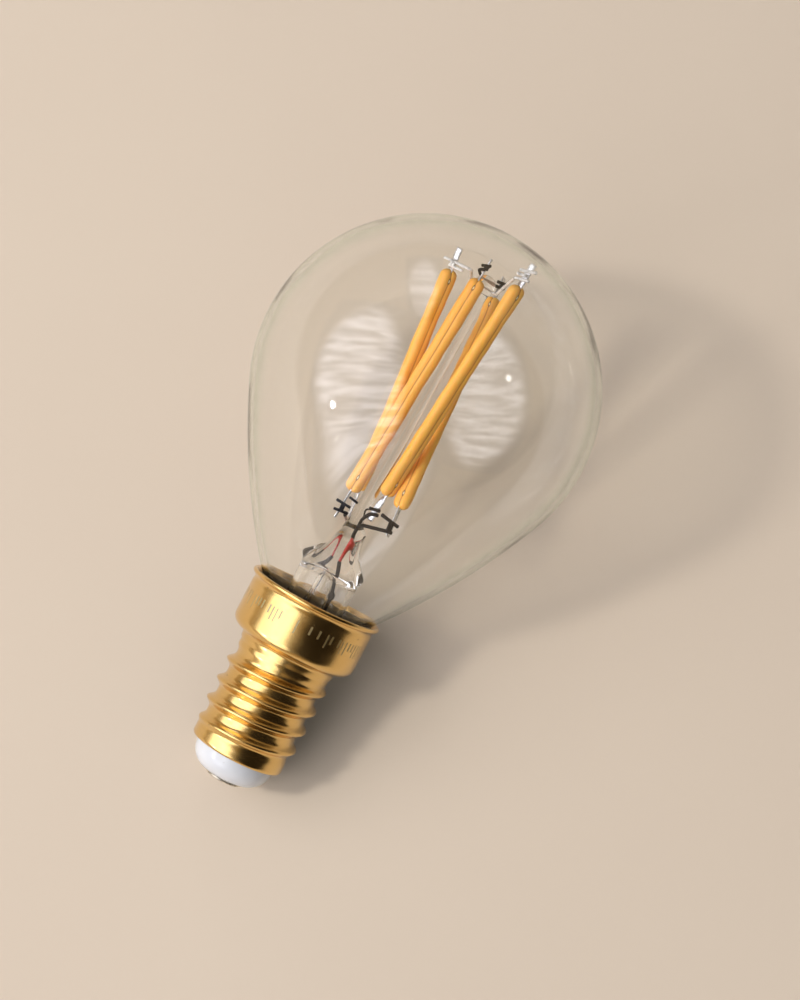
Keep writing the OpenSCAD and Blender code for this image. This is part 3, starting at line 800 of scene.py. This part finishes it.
button_rows = [
    (button_z - button_r * math.cos(a), button_x, button_r * math.sin(a), button_r * math.sin(a), 2)
    for a in np.radians(np.linspace(50, 172, 12))]
hollow_rows = [
    (press_z + 0.6, 0, 1.1, 2.6, 2), (press_z + 0.3, 0, 1.9, 3.0, 2), (press_z - 0.2, 0, 2.7, 3.2, 2),
    (press_z - 0.8, 0, stem_r - 0.72, stem_r - 0.7, 2), (neck_z + 5.0, 0, stem_r - 0.7, stem_r - 0.7, 2),
    (neck_z + 3.0, 0, stem_r - 0.4, stem_r - 0.4, 2), (neck_z + 1.1, 0, flare_r - 1.6, flare_r - 1.6, 2),
    (neck_z + 0.2, 0, flare_r - 0.7, flare_r - 0.7, 2), (neck_z, 0, flare_r - 0.7, flare_r - 0.7, 2)]


# %% Loft them into one mesh
def pressed_ridge(x, y, z):
    """How far the thick ridge on each shoulder of the press stands out."""
    climb = (z - press_z) / (flat_z - press_z)
    share = math.exp(-((climb - 0.55) / 0.4) ** 4)
    return 1.3 * share * math.exp(-(y / 1.0) ** 2) * (1 if x < 0 else 0.85)


def lofted(rows, steps, ridge=None, loop=False):
    """Corners and faces through rows of (z, middle x, half width, half depth, squareness).
    ridge(x, y, z) stands the surface out along x. loop joins the last row to the first."""
    corners, rings = [], []
    for z, middle, wide, deep, square in rows:
        if wide == 0:
            rings.append([len(corners)] * steps)
            corners.append((middle, 0, z))
            continue
        rings.append(list(range(len(corners), len(corners) + steps)))
        for k in range(steps):
            a = 2 * math.pi * (k + 0.5) / steps
            c, s = math.cos(a), math.sin(a)
            x = wide * math.copysign(abs(c) ** (2 / square), c)
            y = deep * math.copysign(abs(s) ** (2 / square), s)
            if ridge:
                x += math.copysign(ridge(x, y, z), x) * abs(c)
            corners.append((middle + x, y, z))
    pairs = list(zip(rings, rings[1:])) + ([(rings[-1], rings[0])] if loop else [])
    return corners, bridged(pairs, steps)


outside = smooth_rows(tube_rows + press_rows + rod_rows + button_rows, 4)
inside = smooth_rows(hollow_rows, 3)
stem_rows = ([tuple(r) for r in outside] + [(button_z + button_r, button_x, 0, 0, 2)]
             + [(press_z + 0.7, 0, 0, 0, 2)] + [tuple(r) for r in inside])


def ridge_outside(x, y, z):
    """The ridge, on the outer face only."""
    return pressed_ridge(x, y, z) if z > press_z + 0.65 or abs(x) > 3.45 else 0


stem = make_piece("stem", [lofted(stem_rows, 72, ridge_outside, loop=True)], stem_clear,
                  "stem_glass")
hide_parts("support_rod")

# %% [markdown]
# ## The exhaust tube
# A thin tube runs down from the press. Air was pumped out and gas let in through it, and then
# its end was melted shut. Glass is smooth shaded, which blends the direction of a long face
# with that of a corner next to it. So the outline has extra rows along its straight walls.

# %% Build the exhaust tube
exhaust_points = lamp_points("exhaust_tube")
exhaust_r = np.abs(exhaust_points[:, 0]).max()
tip_z = exhaust_points[:, 2].min()
tube_top = press_z + 0.1
tube_bore = exhaust_r - 0.3
exhaust = ([(0, tip_z), (0.35, tip_z + 0.05), (0.8, tip_z + 0.3), (1.15, tip_z + 0.65)]
           + [(exhaust_r, tip_z + 1.2)]
           + [(exhaust_r, z) for z in np.linspace(tip_z + 1.5, tube_top - 0.2, 12)]
           + [(exhaust_r - 0.02, tube_top - 0.04), (exhaust_r - 0.08, tube_top), (tube_bore + 0.08, tube_top),
              (tube_bore + 0.02, tube_top - 0.04)]
           + [(tube_bore, z) for z in np.linspace(tube_top - 0.2, tip_z + 1.7, 12)]
           + [(0.5, tip_z + 1.0), (0, tip_z + 0.9)])
make_piece("exhaust_tube_glass", [turned(exhaust, 40)], stem_clear, "exhaust_tube")

# %% [markdown]
# ## The filaments
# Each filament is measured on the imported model: the long direction of its coating gives
# where it points, and the thick direction gives how it is turned. The coating is two round
# lobes, one on each face of the strip, with a soft groove between them over its edges.


# %% Measure a filament
def measure_filament(node):
    """Foot, x axis, y axis, z axis and length of a coating, in lamp millimetres.
    z runs up the filament, x across the strip and y through its thickness."""
    points = lamp_points(node)
    centre = points.mean(0)
    _, axes = np.linalg.eigh(np.cov((points - centre).T))
    z_axis = axes[:, 2] * np.sign(axes[2, 2])
    y_axis = axes[:, 1]
    x_axis = np.cross(y_axis, z_axis)
    reach = (points - centre) @ z_axis
    foot = centre + z_axis * reach.min()
    return foot, x_axis, y_axis, z_axis, reach.max() - reach.min()


filaments = [measure_filament(f"phosphor_{i}") for i in (1, 2, 3, 4)]
feet = [np.array(f[0]) for f in filaments]
heads = [f[0] + f[3] * f[4] for f in filaments]
for i, (foot, _, _, _, length) in enumerate(filaments):
    print(f"filament {i + 1}: foot {np.round(foot, 2)}, head {np.round(heads[i], 2)}, length {length:.2f}")

# %% Shape of the coating
lobe_r = 0.75
lobe_off = 0.43 * lobe_r
end_round = 0.8


def coat_heights(length):
    """Heights of the rows: crowded towards both ends, and even between them."""
    rows, end_rows = 150, 13
    low = length * (0.5 - 0.5 * np.cos(np.pi * np.arange(1, end_rows + 1) / rows))
    between = np.linspace(low[-1], length - low[-1], rows - 2 * end_rows + 1)[1:-1]
    return np.concatenate([low, between, length - low[::-1]])


def coat_mesh(length, seed):
    """Corners and faces of one coating, standing on its foot. seed makes each one wander its own way."""
    steps = 44
    corners, rings = [], []
    phase = [1.7 * seed, 2.9 * seed + 1, 4.1 * seed + 2]
    for z in coat_heights(length):
        from_end = min(z, length - z)
        close = (1 - max(0, 1 - from_end / end_round) ** 2) ** 0.42
        slow = 1 + 0.016 * math.sin(0.9 * z + phase[0]) + 0.012 * math.sin(2.3 * z + phase[1])
        slow *= 1 + 0.05 * math.exp(-((from_end - 1.6) / 1.3) ** 2)
        open_end = math.exp(-(from_end / 0.6) ** 2)
        ring = []
        for k in range(steps):
            a = 2 * math.pi * k / steps
            lift = math.sqrt(math.sin(a) ** 2 + 0.012)
            r = lobe_off * lift + math.sqrt(lobe_r**2 - (lobe_off * math.cos(a)) ** 2)
            r *= close * slow * (1 + 0.008 * math.sin(1.4 * z + 2 * a + phase[2]))
            r *= 1 - 0.3 * open_end * math.exp(-(math.sin(a) / 0.3) ** 2)
            ring.append(len(corners))
            corners.append((r * math.cos(a), r * math.sin(a), z))
        rings.append(ring)
    corners += [(0, 0, 0), (0, 0, length)]
    rings = [[len(corners) - 2] * steps] + rings + [[len(corners) - 1] * steps]
    return corners, bridged(list(zip(rings, rings[1:])), steps)


# %% Shape of a strip
tab_low, tab_high = 3.8, 3.0
strip_half, strip_thin = 0.425, 0.1
CATCHES_WINDOW = np.array([-0.22, -0.97, -0.09])  # a tab facing this way mirrors the window


def twist_to_face(x_axis, y_axis, wanted):
    """The smallest turn about a strip's length that makes its flat side face this way."""
    turn = math.atan2(-float(np.dot(wanted, x_axis)), float(np.dot(wanted, y_axis)))
    return (turn + math.pi / 2) % math.pi - math.pi / 2


def strip_mesh(length, low_twist, high_twist):
    """Corners and faces of a flat strip with slightly rounded edges. Each bare tab may be twisted
    by an angle about its length."""
    outline = []
    for sx, sy in ((1, 1), (-1, 1), (-1, -1), (1, -1)):
        edge = [(strip_half, strip_thin - 0.04), (strip_half - 0.04, strip_thin)]
        outline += [(sx * x, sy * y) for x, y in (edge if sx * sy > 0 else edge[::-1])]
    heights = np.concatenate([np.linspace(-tab_low, -0.2, 16), [length / 2],
                              np.linspace(length + 0.2, length + tab_high, 14)])
    corners, rings = [], []
    for z in heights:
        low_share = min(1, max(0, (-z - 0.3) / 0.9))
        high_share = min(1, max(0, (z - length - 0.1) / 0.8))
        turn = low_twist * low_share + high_twist * high_share
        c, s = math.cos(turn), math.sin(turn)
        rings.append(list(range(len(corners), len(corners) + len(outline))))
        corners += [(c * x - s * y, s * x + c * y, z) for x, y in outline]
    corners += [(0, 0, heights[0]), (0, 0, heights[-1])]
    count = len(outline)
    rings = [[len(corners) - 2] * count] + rings + [[len(corners) - 1] * count]
    return corners, bridged(list(zip(rings, rings[1:])), count)


# %% Build the coatings and the strips
for i, (foot, x_axis, y_axis, z_axis, length) in enumerate(filaments, start=1):
    stand = lamp_place @ axes_matrix(x_axis, y_axis, z_axis, foot)
    make_piece(f"coating_{i}", [coat_mesh(length, i)], coating, f"phosphor_{i}", stand)
    facing_turn = twist_to_face(x_axis, y_axis, CATCHES_WINDOW)
    head_turn = facing_turn if i in (1, 4) else 0.0
    foot_turn = facing_turn if i == 4 else 0.0
    make_piece(f"strip_{i}", [strip_mesh(length, foot_turn, head_turn)], strip_metal,
               f"carrier_{i}", stand)

# %% [markdown]
# ## The wires
# Each wire is a list of points with rounded bends, because the real ones were bent by hand
# and no rule gives their shape. Where a wire holds a filament it is folded flat across the
# bare tab, which shows as short bars. The points of hooks and bars are given from the end of
# that filament's coating, so they stay on its tab.


# %% Points on the hooks
WIRE_R = 0.25


def hook_at(i, end, x, z):
    """A point on the front of filament i's tab: x across, and z along the lamp from its end."""
    _, x_axis, y_axis, z_axis, _ = filaments[i - 1]
    front = WIRE_R + strip_half * abs(x_axis[1]) + strip_thin * abs(y_axis[1]) - 0.05
    return [end[0] + x, end[1] + z_axis[1] / z_axis[2] * z - front, end[2] + z]


def low_hook(i, x, z):
    return hook_at(i, feet[i - 1], x, z)


def high_hook(i, x, z):
    return hook_at(i, heads[i - 1], x, z)


# %% The wires' paths
foot_z = feet[0][2]
fork = np.array([0.65, -2.0, foot_z - 3.4])
button = np.array([button_x, 0, button_z])
seal_front = [[0.69, -2.0, rim_z + 5.8], [0.71, -2.0, rim_z + 8.9]]
seal_rear = [[-0.80, 2.0, rim_z + 5.6], [-0.85, 2.0, rim_z + 8.7]]
bead_at = [1.78, -2.2, rim_z + 1.5]
board_face = 0.75  # how far each face of the driver's board is from the lamp's axis
wires = {
    "anchor_front": [
        high_hook(1, -1.35, 1.0), high_hook(1, 2.45, 1.1), button + [-1.95, -0.6, 0.1],
        button + [1.95, -0.6, -0.3], high_hook(4, -0.9, 0.7), high_hook(4, 0.85, 1.0)],
    "anchor_rear": [
        high_hook(2, 0.45, 1.6), high_hook(2, -0.6, 1.1), button + [-0.75, -1.6, 0.9],
        button + [0.75, 1.8, 0.2], high_hook(3, -0.7, 1.3), high_hook(3, 0.6, 1.5)],
    "lead_front": [
        seal_front[1], fork + [0, -0.1, -0.4], fork + [0.6, -0.9, 0.2], low_hook(3, 0.1, -3.05),
        low_hook(3, 0.75, -2.95)],
    "branch_front": [
        fork + [0, 0.4, -0.9], fork + [0.05, -0.2, 0.6], [1.1, -2.6, foot_z - 1.95],
        low_hook(4, -0.6, -2.95), low_hook(4, 0.45, -2.7)],
    "lead_rear": [
        seal_rear[1], [-1.0, 2.0, foot_z - 4.9], [-1.55, 1.5, foot_z - 4.0], [-1.85, 0, foot_z - 3.4],
        low_hook(2, 1.0, -2.6), low_hook(2, -0.75, -2.8)],
    "branch_rear": [
        [-1.35, 2.25, foot_z - 4.35], [-1.1, 2.3, foot_z - 2.9], low_hook(1, 1.25, -1.7),
        low_hook(1, -0.6, -1.4)],
    "seal_front": seal_front,
    "seal_rear": seal_rear,
    "tail_front": [
        seal_front[0], [1.25, -2.1, rim_z + 3.6], bead_at, [1.8, -2.2, rim_z - 1.5],
        [1.7, -2.0, skirt_z + 0.6], [1.8, -board_face - 0.04, skirt_z - 2.2],
        [1.8, -board_face, skirt_z - 3.6]],
    "tail_rear": [
        seal_rear[0], [-1.4, 2.1, rim_z + 3.4], [-1.75, 2.2, rim_z - 1.5], [-1.7, 2.0, skirt_z + 0.6],
        [-1.8, board_face + 0.04, skirt_z - 2.2], [-1.8, board_face, skirt_z - 3.6]]}
print(len(wires), "wires, with", sum(len(points) for points in wires.values()), "points")

# %% The bars folded across the tabs
# Each bar is a straight piece of its wire, from its first point to its second.
bars = {
    "anchor_front": [
        (high_hook(1, -0.4, 0.42), high_hook(1, 1.5, 0.5)),
        (high_hook(1, -0.25, 0.5), high_hook(1, -0.1, 1.0)),
        (high_hook(1, 0.1, 0.5), high_hook(1, 0.2, 1.0)),
        (high_hook(4, -0.95, 1.3), high_hook(4, 0.25, 1.45)),
        (high_hook(4, -0.85, 1.8), high_hook(4, 1.2, 2.2))],
    "anchor_rear": [
        (high_hook(2, -0.5, 1.75), high_hook(2, 0.6, 2.15)),
        (high_hook(2, 0, 1.2), high_hook(2, 0.1, 2.1)),
        (high_hook(2, 0.3, 1.4), high_hook(2, 0.35, 2.0)),
        (high_hook(3, -0.7, 1.95), high_hook(3, 0.55, 2.1)),
        (high_hook(3, 0, 1.3), high_hook(3, 0.05, 2.05))],
    "lead_front": [
        (low_hook(3, -1.5, -1.6), low_hook(3, 1.05, -1.95)),
        (low_hook(3, -0.05, -1.75), low_hook(3, 0.1, -2.95)),
        (low_hook(3, 0.25, -1.85), low_hook(3, 0.35, -2.9))],
    "branch_front": [(low_hook(4, 0.4, -2.1), low_hook(4, -1.0, -2.4))],
    "lead_rear": [
        (low_hook(2, -0.95, -1.65), low_hook(2, 1.0, -1.8)),
        (low_hook(2, -0.05, -1.7), low_hook(2, 0.0, -2.75)),
        (low_hook(2, 0.2, -1.7), low_hook(2, 0.25, -2.7))]}
print(sum(len(pairs) for pairs in bars.values()), "bars")

# %% [markdown]
# ## What each wire looks like
# The two rear wires change along their length: bare and pinkish near the glass, and black
# further out. One wire whose skin depends on the distance from a point does that better than
# two pieces would, since there is no seam. The wires also differ in thickness.

# %% Material, slot and radius of each wire
rear_anchor_wire = make_oxidised("rear_anchor_metal", (0.50, 0.38, 0.33, 1), OXIDE_BLACK, cover=0.9,
                                 clean=(tuple(button), 1.9, 2.8))
rear_lead_wire = make_oxidised("rear_lead_metal", (0.50, 0.36, 0.31, 1), OXIDE_BLACK, cover=0.9,
                               clean=(tuple(seal_rear[1]), 2.4, 3.6))
wire_looks = {
    "anchor_front": (anchor_bright, "bright_wire", 0.2), "anchor_rear": (rear_anchor_wire, "dark_wire", 0.21),
    "lead_front": (black_wire, "dark_wire", 0.24), "branch_front": (black_wire, "dark_wire", 0.22),
    "lead_rear": (rear_lead_wire, "dark_wire", 0.19), "branch_rear": (black_wire, "dark_wire", 0.16),
    "seal_front": (red_wire, "red_seal_wire", 0.16), "seal_rear": (red_wire, "red_seal_wire", 0.11),
    "tail_front": (black_wire, "dark_wire", 0.21), "tail_rear": (grey_wire, "dark_wire", 0.2)}

# %% Build the wires
def steps_along(points, step=0.25):
    """The same line with a point about every step."""
    fine = []
    for a, b in zip(points, points[1:]):
        count = max(1, round((b - a).length / step))
        fine += [a.lerp(b, k / count) for k in range(count)]
    return fine + [points[-1]]


for number, (name, points) in enumerate(wires.items()):
    material, slot, plain_r = wire_looks[name]
    path = steps_along(rounded_path(points, 0.35))
    travel = np.cumsum([0] + [(b - a).length for a, b in zip(path, path[1:])])
    nearest = min(range(len(path)), key=lambda k: (path[k] - Vector(bead_at)).length)
    bead_share = travel[nearest] / travel[-1]
    bead_high = 0.2 if name == "tail_front" else 0
    from_button = [(p - Vector(button)).length for p in path]

    def wire_radius(share, angle):
        """The wire's radius: a little uneven, drawn thin in the button, with a bead on the front tail."""
        uneven = 1 + 0.04 * math.sin(37 * share + number) * math.sin(angle + 9 * share)
        uneven *= 1 - 0.5 * math.exp(-(np.interp(share * travel[-1], travel, from_button) / 1.9) ** 4)
        from_bead = (share - bead_share) * travel[-1]
        return plain_r * uneven + bead_high * math.exp(-(from_bead / 0.4) ** 4)

    def bar_radius(share, angle):
        """A bar's radius, pinched a little in the middle where it was pressed on the tab."""
        return plain_r * (0.92 + 0.12 * (2 * share - 1) ** 2)

    parts = [swept(path, wire_radius)]
    parts += [swept(steps_along([Vector(a), Vector(b)]), bar_radius) for a, b in bars.get(name, [])]
    make_piece(f"wire_{name}", parts, material, name)

# %% [markdown]
# ## The cap
# The thread is rolled into thin sheet, so it has narrow crests and wide round valleys. One
# turned outline makes the whole cap, with its end band, thread, skirt and flared lip. On the
# thread's rows, the radius follows the helix. That makes one closed mesh, where a separate
# helix would have to be joined to the band and the skirt.

# %% The rolled thread
PITCH = 2.822
end_r = thread_r - 0.5
thread_low = end_z + 0.7
thread_high = skirt_z - 1.4
thread_depth = 0.82
crest_z = rim_z - 12.2


def eased(share):
    """0 to 1 with a soft start and a soft stop."""
    share = min(1, max(0, share))
    return share * share * (3 - 2 * share)


def thread_reach(angle, z):
    """Radius of the thread at this angle and height. It fades out at both ends."""
    full = min(eased((z - thread_low - 0.1) / 2.1), eased((thread_high - 0.4 - z) / 1.4))
    wave = ((1 - math.cos(2 * math.pi * (z - crest_z) / PITCH - angle)) / 2) ** 2.3
    return end_r * (1 - full) + (thread_r - thread_depth * (1 - wave)) * full


# %% Outline of the cap
sheet = 0.35  # thickness of the brass
lip_r = 0.3
curve_r = 1.4  # rounding under the skirt
thread_rows = [(thread_r, z) for z in np.arange(thread_low, thread_high + 0.01, 0.1)]
cap_outline = (
    [(bore_r, end_z - 0.35), (end_r - 0.4, end_z - 0.4), (end_r - 0.12, end_z - 0.3), (end_r, end_z - 0.1),
     (end_r + 0.02, end_z + 0.15), (end_r, end_z + 0.45)]
    + thread_rows
    + [(thread_r - 0.3, thread_high + 0.3), (thread_r - 0.26, thread_high + 0.8),
       (thread_r - 0.15, skirt_z - 0.25), (thread_r + 0.1, skirt_z - 0.06)]
    + arc_points((skirt_r - curve_r, skirt_z + curve_r), curve_r, -88, 0, 14)
    + [(skirt_r, z) for z in np.linspace(skirt_z + curve_r + 0.6, rim_z - 1.7, 8)]
    + [(skirt_r - 0.02, rim_z - 1.45), (skirt_r - 0.09, rim_z - 1.25), (skirt_r - 0.09, rim_z - 1.12)]
    + [(skirt_r - 0.02, rim_z - 0.9)]
    + arc_points((skirt_r + 0.05 + bead_r - lip_r, rim_z - lip_r), lip_r, -70, 150, 18)
    + [(skirt_r - sheet, rim_z - 0.75), (skirt_r - sheet, skirt_z + curve_r)]
    + arc_points((skirt_r - curve_r, skirt_z + curve_r), curve_r - sheet, -4, -88, 8)
    + [(bore_r + 0.1, skirt_z + 0.2), (bore_r, skirt_z - 0.5), (bore_r, thread_low)])


def cap_reach(radius, z, angle):
    """The outline's radius. The thread's rows follow the helix, and the skirt is a hair out of round."""
    if radius == thread_r:
        return thread_reach(angle, z)
    return radius + 0.012 * math.sin(2 * angle + 0.7) * min(1, max(0, z - skirt_z))


print(f"cap outline: {len(cap_outline)} points, {len(thread_rows)} of them on the thread")
make_piece("cap", [turned(cap_outline, 224, cap_reach, loop=True)], cap_brass, "cap_shell")

# %% [markdown]
# ## Insulator and contact
# The insulator fills the cap's open end as a shallow dome, and the contact is a thin pressed
# cup in its middle with a pin through it. Both are round, so both are turned.

# %% Build the insulator and the contact
contact_points = lamp_points("centre_contact")
contact_r = np.hypot(contact_points[:, 0], contact_points[:, 1]).max() - 0.2
dome_r = contact_r + 0.15
insulator = ([(0.85, 0.5), (dome_r - 0.15, 0.46), (dome_r + 0.15, 0.46)]
             + arc_points((dome_r, 3.3), 2.85, -78, -4, 18)
             + [(bore_r - 0.02, end_z + 0.1), (bore_r - 0.02, end_z + 1.4), (bore_r - 1.1, end_z + 1.4),
                (bore_r - 1.1, 2.4), (0.85, 2.2)])
make_piece("insulator", [turned(insulator, 112, loop=True)], white_insulator, "cap_insulator")
contact = ([(0, 0), (1.0, 0.005), (contact_r - 0.2, 0.01), (contact_r + 0.05, 0.04), (contact_r + 0.17, 0.13),
            (contact_r + 0.2, 0.22), (contact_r + 0.15, 0.34), (contact_r, 0.42), (0.8, 0.42), (0.8, 2.32),
            (1.3, 2.42), (1.3, 2.7), (1.1, 2.85), (0, 2.85)])
make_piece("contact", [turned(contact, 72)], plated, "centre_contact")

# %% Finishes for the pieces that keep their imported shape
packed_looks = {
    "cement": cement_brown_and_painted_shade, "driver_board": board_green, "capacitor": can_sleeve, "rectifier": black_moulding,
    "driver_chip": black_moulding, "contact_wire": tinned_packed, "shell_wire": tinned_packed}
for node, material in packed_looks.items():
    packed_mesh = frame["nodes"][node].data
    packed_mesh.materials.clear()
    packed_mesh.materials.append(material)
    keep_own_place(packed_mesh, 1 / MM)
print("packed pieces shown:", ", ".join(packed_looks))

# %% [markdown]
# ## Floor
# The floor is a pale matt sheet. It is flat and far wider than the lamp, so one face is
# enough, with a slow change of colour so that it doesn't look like an empty background.


# %% Floor
def make_sheet(name, material, width, height, place=Matrix.Identity(4)):
    """A flat face of this size in metres, for the room around the lamp."""
    x, y = width / 2, height / 2
    mesh = bpy.data.meshes.new(name)
    mesh.from_pydata([(-x, -y, 0), (x, -y, 0), (x, y, 0), (-x, y, 0)], [], [(0, 1, 2, 3)])
    mesh.materials.append(material)
    keep_own_place(mesh, 1 / MM)
    sheet_object = bpy.data.objects.new(name, mesh)
    sheet_object.matrix_world = place
    bpy.context.scene.collection.objects.link(sheet_object)
    print(f"{name}: {width} by {height} m")
    return sheet_object


def make_floor_look():
    """Pale matt beige that drifts slowly to a lighter one."""
    material, tree, shader = start_material("pale_floor")
    slow = group_in(tree, unevenness, Place=own_place(tree), Size=60.0, Detail=2.0)["Height"]
    drift = mix_colours(tree, slow, (0.64, 0.53, 0.41, 1), (0.68, 0.57, 0.44, 1))
    tree.links.new(drift, shader.inputs["Base Color"])
    shader.inputs["Roughness"].default_value = 0.75
    return material


make_sheet("floor", make_floor_look(), 4, 4)

# %% [markdown]
# ## Camera
# The camera looks down steeply, from a little way off with a long lens, as one looks at a
# small thing on a table. Its direction is given by angles from the lamp's middle, which are
# easier to think about than a place and three turns. The aim is a little off the middle.


# %% Camera
CAMERA_TURN, CAMERA_HEIGHT, CAMERA_ROLL = 28.304, 74.111, 0.837  # angles in degrees
CAMERA_AWAY = 0.314887
AIM_OFF_MIDDLE = Vector((4.196, 1.709, -0.138))  # in millimetres


def camera_axes(azimuth, elevation, roll):
    """Right, up and back of a camera that looks at the lamp from these angles, in degrees."""
    a, e, r = (math.radians(v) for v in (azimuth, elevation, roll))
    back = Vector((math.sin(a) * math.cos(e), -math.cos(a) * math.cos(e), math.sin(e)))
    level = Vector((math.cos(a), math.sin(a), 0))
    upright = back.cross(level)
    right = level * math.cos(r) + upright * math.sin(r)
    return right, back.cross(right), back


right, up, back = camera_axes(CAMERA_TURN, CAMERA_HEIGHT, CAMERA_ROLL)
middle = (Vector(cad_low) + Vector(cad_high)) / 2
aim = middle + AIM_OFF_MIDDLE * MM
camera_data = bpy.data.cameras.new("camera")
camera_data.lens = 90
camera_data.sensor_width = 36
camera_data.clip_start = 0.01
camera = bpy.data.objects.new("camera", camera_data)
camera.matrix_world = axes_matrix(right, up, back, aim + back * CAMERA_AWAY)
bpy.context.scene.collection.objects.link(camera)
bpy.context.scene.camera = camera
print("camera at, mm:", [round(1000 * v, 1) for v in camera.matrix_world.translation])


# %% [markdown]
# ## Light
# Clear glass and polished brass show little of their own: they show the room. So the room
# matters more than the material. A wide curtained window stands to the left and gives the
# broad soft reflections. The key light is hidden from reflections, and gives the shadow its
# edge. A small lamp beside the window gives the two bright spots in the ball, one on its
# near wall and one on its far wall. To the right the room is dark in reflections, which
# gives the brass its dark band. A photographer does the same with a black card.


# %% Lights
def facing_place(direction, distance):
    """Where a light or card stands that faces the lamp from this direction, with its top up."""
    facing = Vector(direction).normalized()
    side = up.cross(facing).normalized()
    return axes_matrix(side, facing.cross(side), facing, middle + facing * distance)


def soft_light(name, direction, distance, width, height, watts, colour=(1, 1, 1)):
    """A soft oval light that faces the lamp from a direction. Sizes are in metres."""
    data = bpy.data.lights.new(name, "AREA")
    data.shape = "ELLIPSE"
    data.size, data.size_y = width, height
    data.energy = watts
    data.color = colour
    light = bpy.data.objects.new(name, data)
    light.matrix_world = facing_place(direction, distance)
    bpy.context.scene.collection.objects.link(light)
    print(f"light {name}: {watts} W")
    return light


def from_camera(leftward, upward):
    """A direction these many degrees to the left of the camera's line and above it."""
    turn, climb = math.radians(leftward), math.radians(upward)
    return (back * math.cos(turn) - right * math.sin(turn)) * math.cos(climb) + up * math.sin(climb)


key_light = soft_light("key", (-0.56, -0.37, 0.76), distance=1.0, width=0.13, height=0.13, watts=3.4,
                       colour=(1.0, 0.97, 0.92))
key_light.visible_glossy = False
key_light.visible_transmission = False
soft_light("small_lamp", from_camera(62, -8), distance=0.9, width=0.055, height=0.07, watts=0.45)

# %% [markdown]
# ## The window and its curtain
# The window is a card that shines, and folds in its curtain are a noise stretched sideways.
# Its light is full over the middle and fades in an oval towards the card's edge, so its
# reflection in the ball has a soft round outline. A second, narrow card stands beyond the
# lamp. Neither can be seen by the camera, and neither throws a shadow.


# %% Build both windows
FOLD_ALONG, FOLD_ACROSS = 0.0016, 0.0095  # waves in a millimetre, along a fold and across it
DAYLIGHT = (0.97, 0.96, 1.03, 1)


def make_curtain(name, width, height, dim, bright):
    """Daylight through a thin curtain, between dim and bright in its folds."""
    material, tree, shader = start_material(name)
    axes = add_node(tree, "ShaderNodeSeparateXYZ", {"Vector": own_place(tree)}).outputs
    squeezed = add_node(tree, "ShaderNodeCombineXYZ",
                        {"X": math_node(tree, "MULTIPLY", axes["X"], FOLD_ALONG),
                         "Y": math_node(tree, "MULTIPLY", axes["Y"], FOLD_ACROSS)})
    folds = add_node(tree, "ShaderNodeTexNoise",
                     {"Vector": squeezed.outputs[0], "Scale": 1.0, "Detail": 3.0}).outputs["Fac"]
    across_share = math_node(tree, "DIVIDE", axes["X"], width / 2 / MM)
    up_share = math_node(tree, "DIVIDE", axes["Y"], height / 2 / MM)
    edge = ramp_node(tree, length_node(tree, across_share, up_share), 1.0, 0.6)
    strength = math_node(tree, "MULTIPLY", edge, ramp_node(tree, folds, 0.35, 0.65, dim, bright))
    light = add_node(tree, "ShaderNodeEmission", {"Color": DAYLIGHT, "Strength": strength})
    show_instead(tree, light.outputs[0])
    tree.nodes.remove(shader)
    return material


def place_window(name, width, height, dim, bright, direction, distance):
    """A shining card that faces the lamp, and is seen only in reflections and by its light."""
    look = make_curtain(f"{name}_light", width, height, dim, bright)
    card = make_sheet(name, look, width, height, facing_place(direction, distance))
    card.visible_camera = False
    card.visible_shadow = False


place_window("curtain", width=1.32, height=2.4, dim=1.2, bright=4.0,
             direction=from_camera(45, 2), distance=0.95)
place_window("far_window", width=0.28, height=0.84, dim=0.6, bright=2.2,
             direction=from_camera(2, 68), distance=0.9)

# %% [markdown]
# ## The room
# The rest of the room is an even grey light. Mirrors see a warmer room than matt surfaces do,
# which keeps the brass golden. They also see a dark side in it, for the brass's dark band.

# %% The room
world = bpy.data.worlds.new("room")
world.use_nodes = True
room = world.node_tree
away = add_node(room, "ShaderNodeTexCoord").outputs["Generated"]
dark_side = add_node(room, "ShaderNodeVectorMath", {0: away, 1: tuple(from_camera(-52, -21))},
                     operation="DOT_PRODUCT").outputs["Value"]
mirrored = mix_colours(room, ramp_node(room, dark_side, 0.44, 0.72),
                       (0.40, 0.29, 0.17, 1), (0.015, 0.01, 0.006, 1))
is_mirror = add_node(room, "ShaderNodeLightPath").outputs["Is Glossy Ray"]
background = room.nodes["Background"]
room.links.new(mix_colours(room, is_mirror, (0.285, 0.29, 0.295, 1), mirrored), background.inputs["Color"])
background.inputs["Strength"].default_value = 1.0
bpy.context.scene.world = world

# %% [markdown]
# ## How the picture is made
# Light that passes a thin shell with an inside and an outside meets glass four times, and
# the stem and its tube add more. With too few bounces such rays end black, so many are
# allowed. Caustics are off, because they would only add noise here.

# %% Colours and bounces
bpy.context.scene.view_settings.view_transform = "Standard"
cycles = bpy.context.scene.cycles
cycles.caustics_reflective = False
cycles.caustics_refractive = False
cycles.max_bounces = 26
cycles.transmission_bounces = 24
cycles.transparent_max_bounces = 32
cycles.glossy_bounces = 6
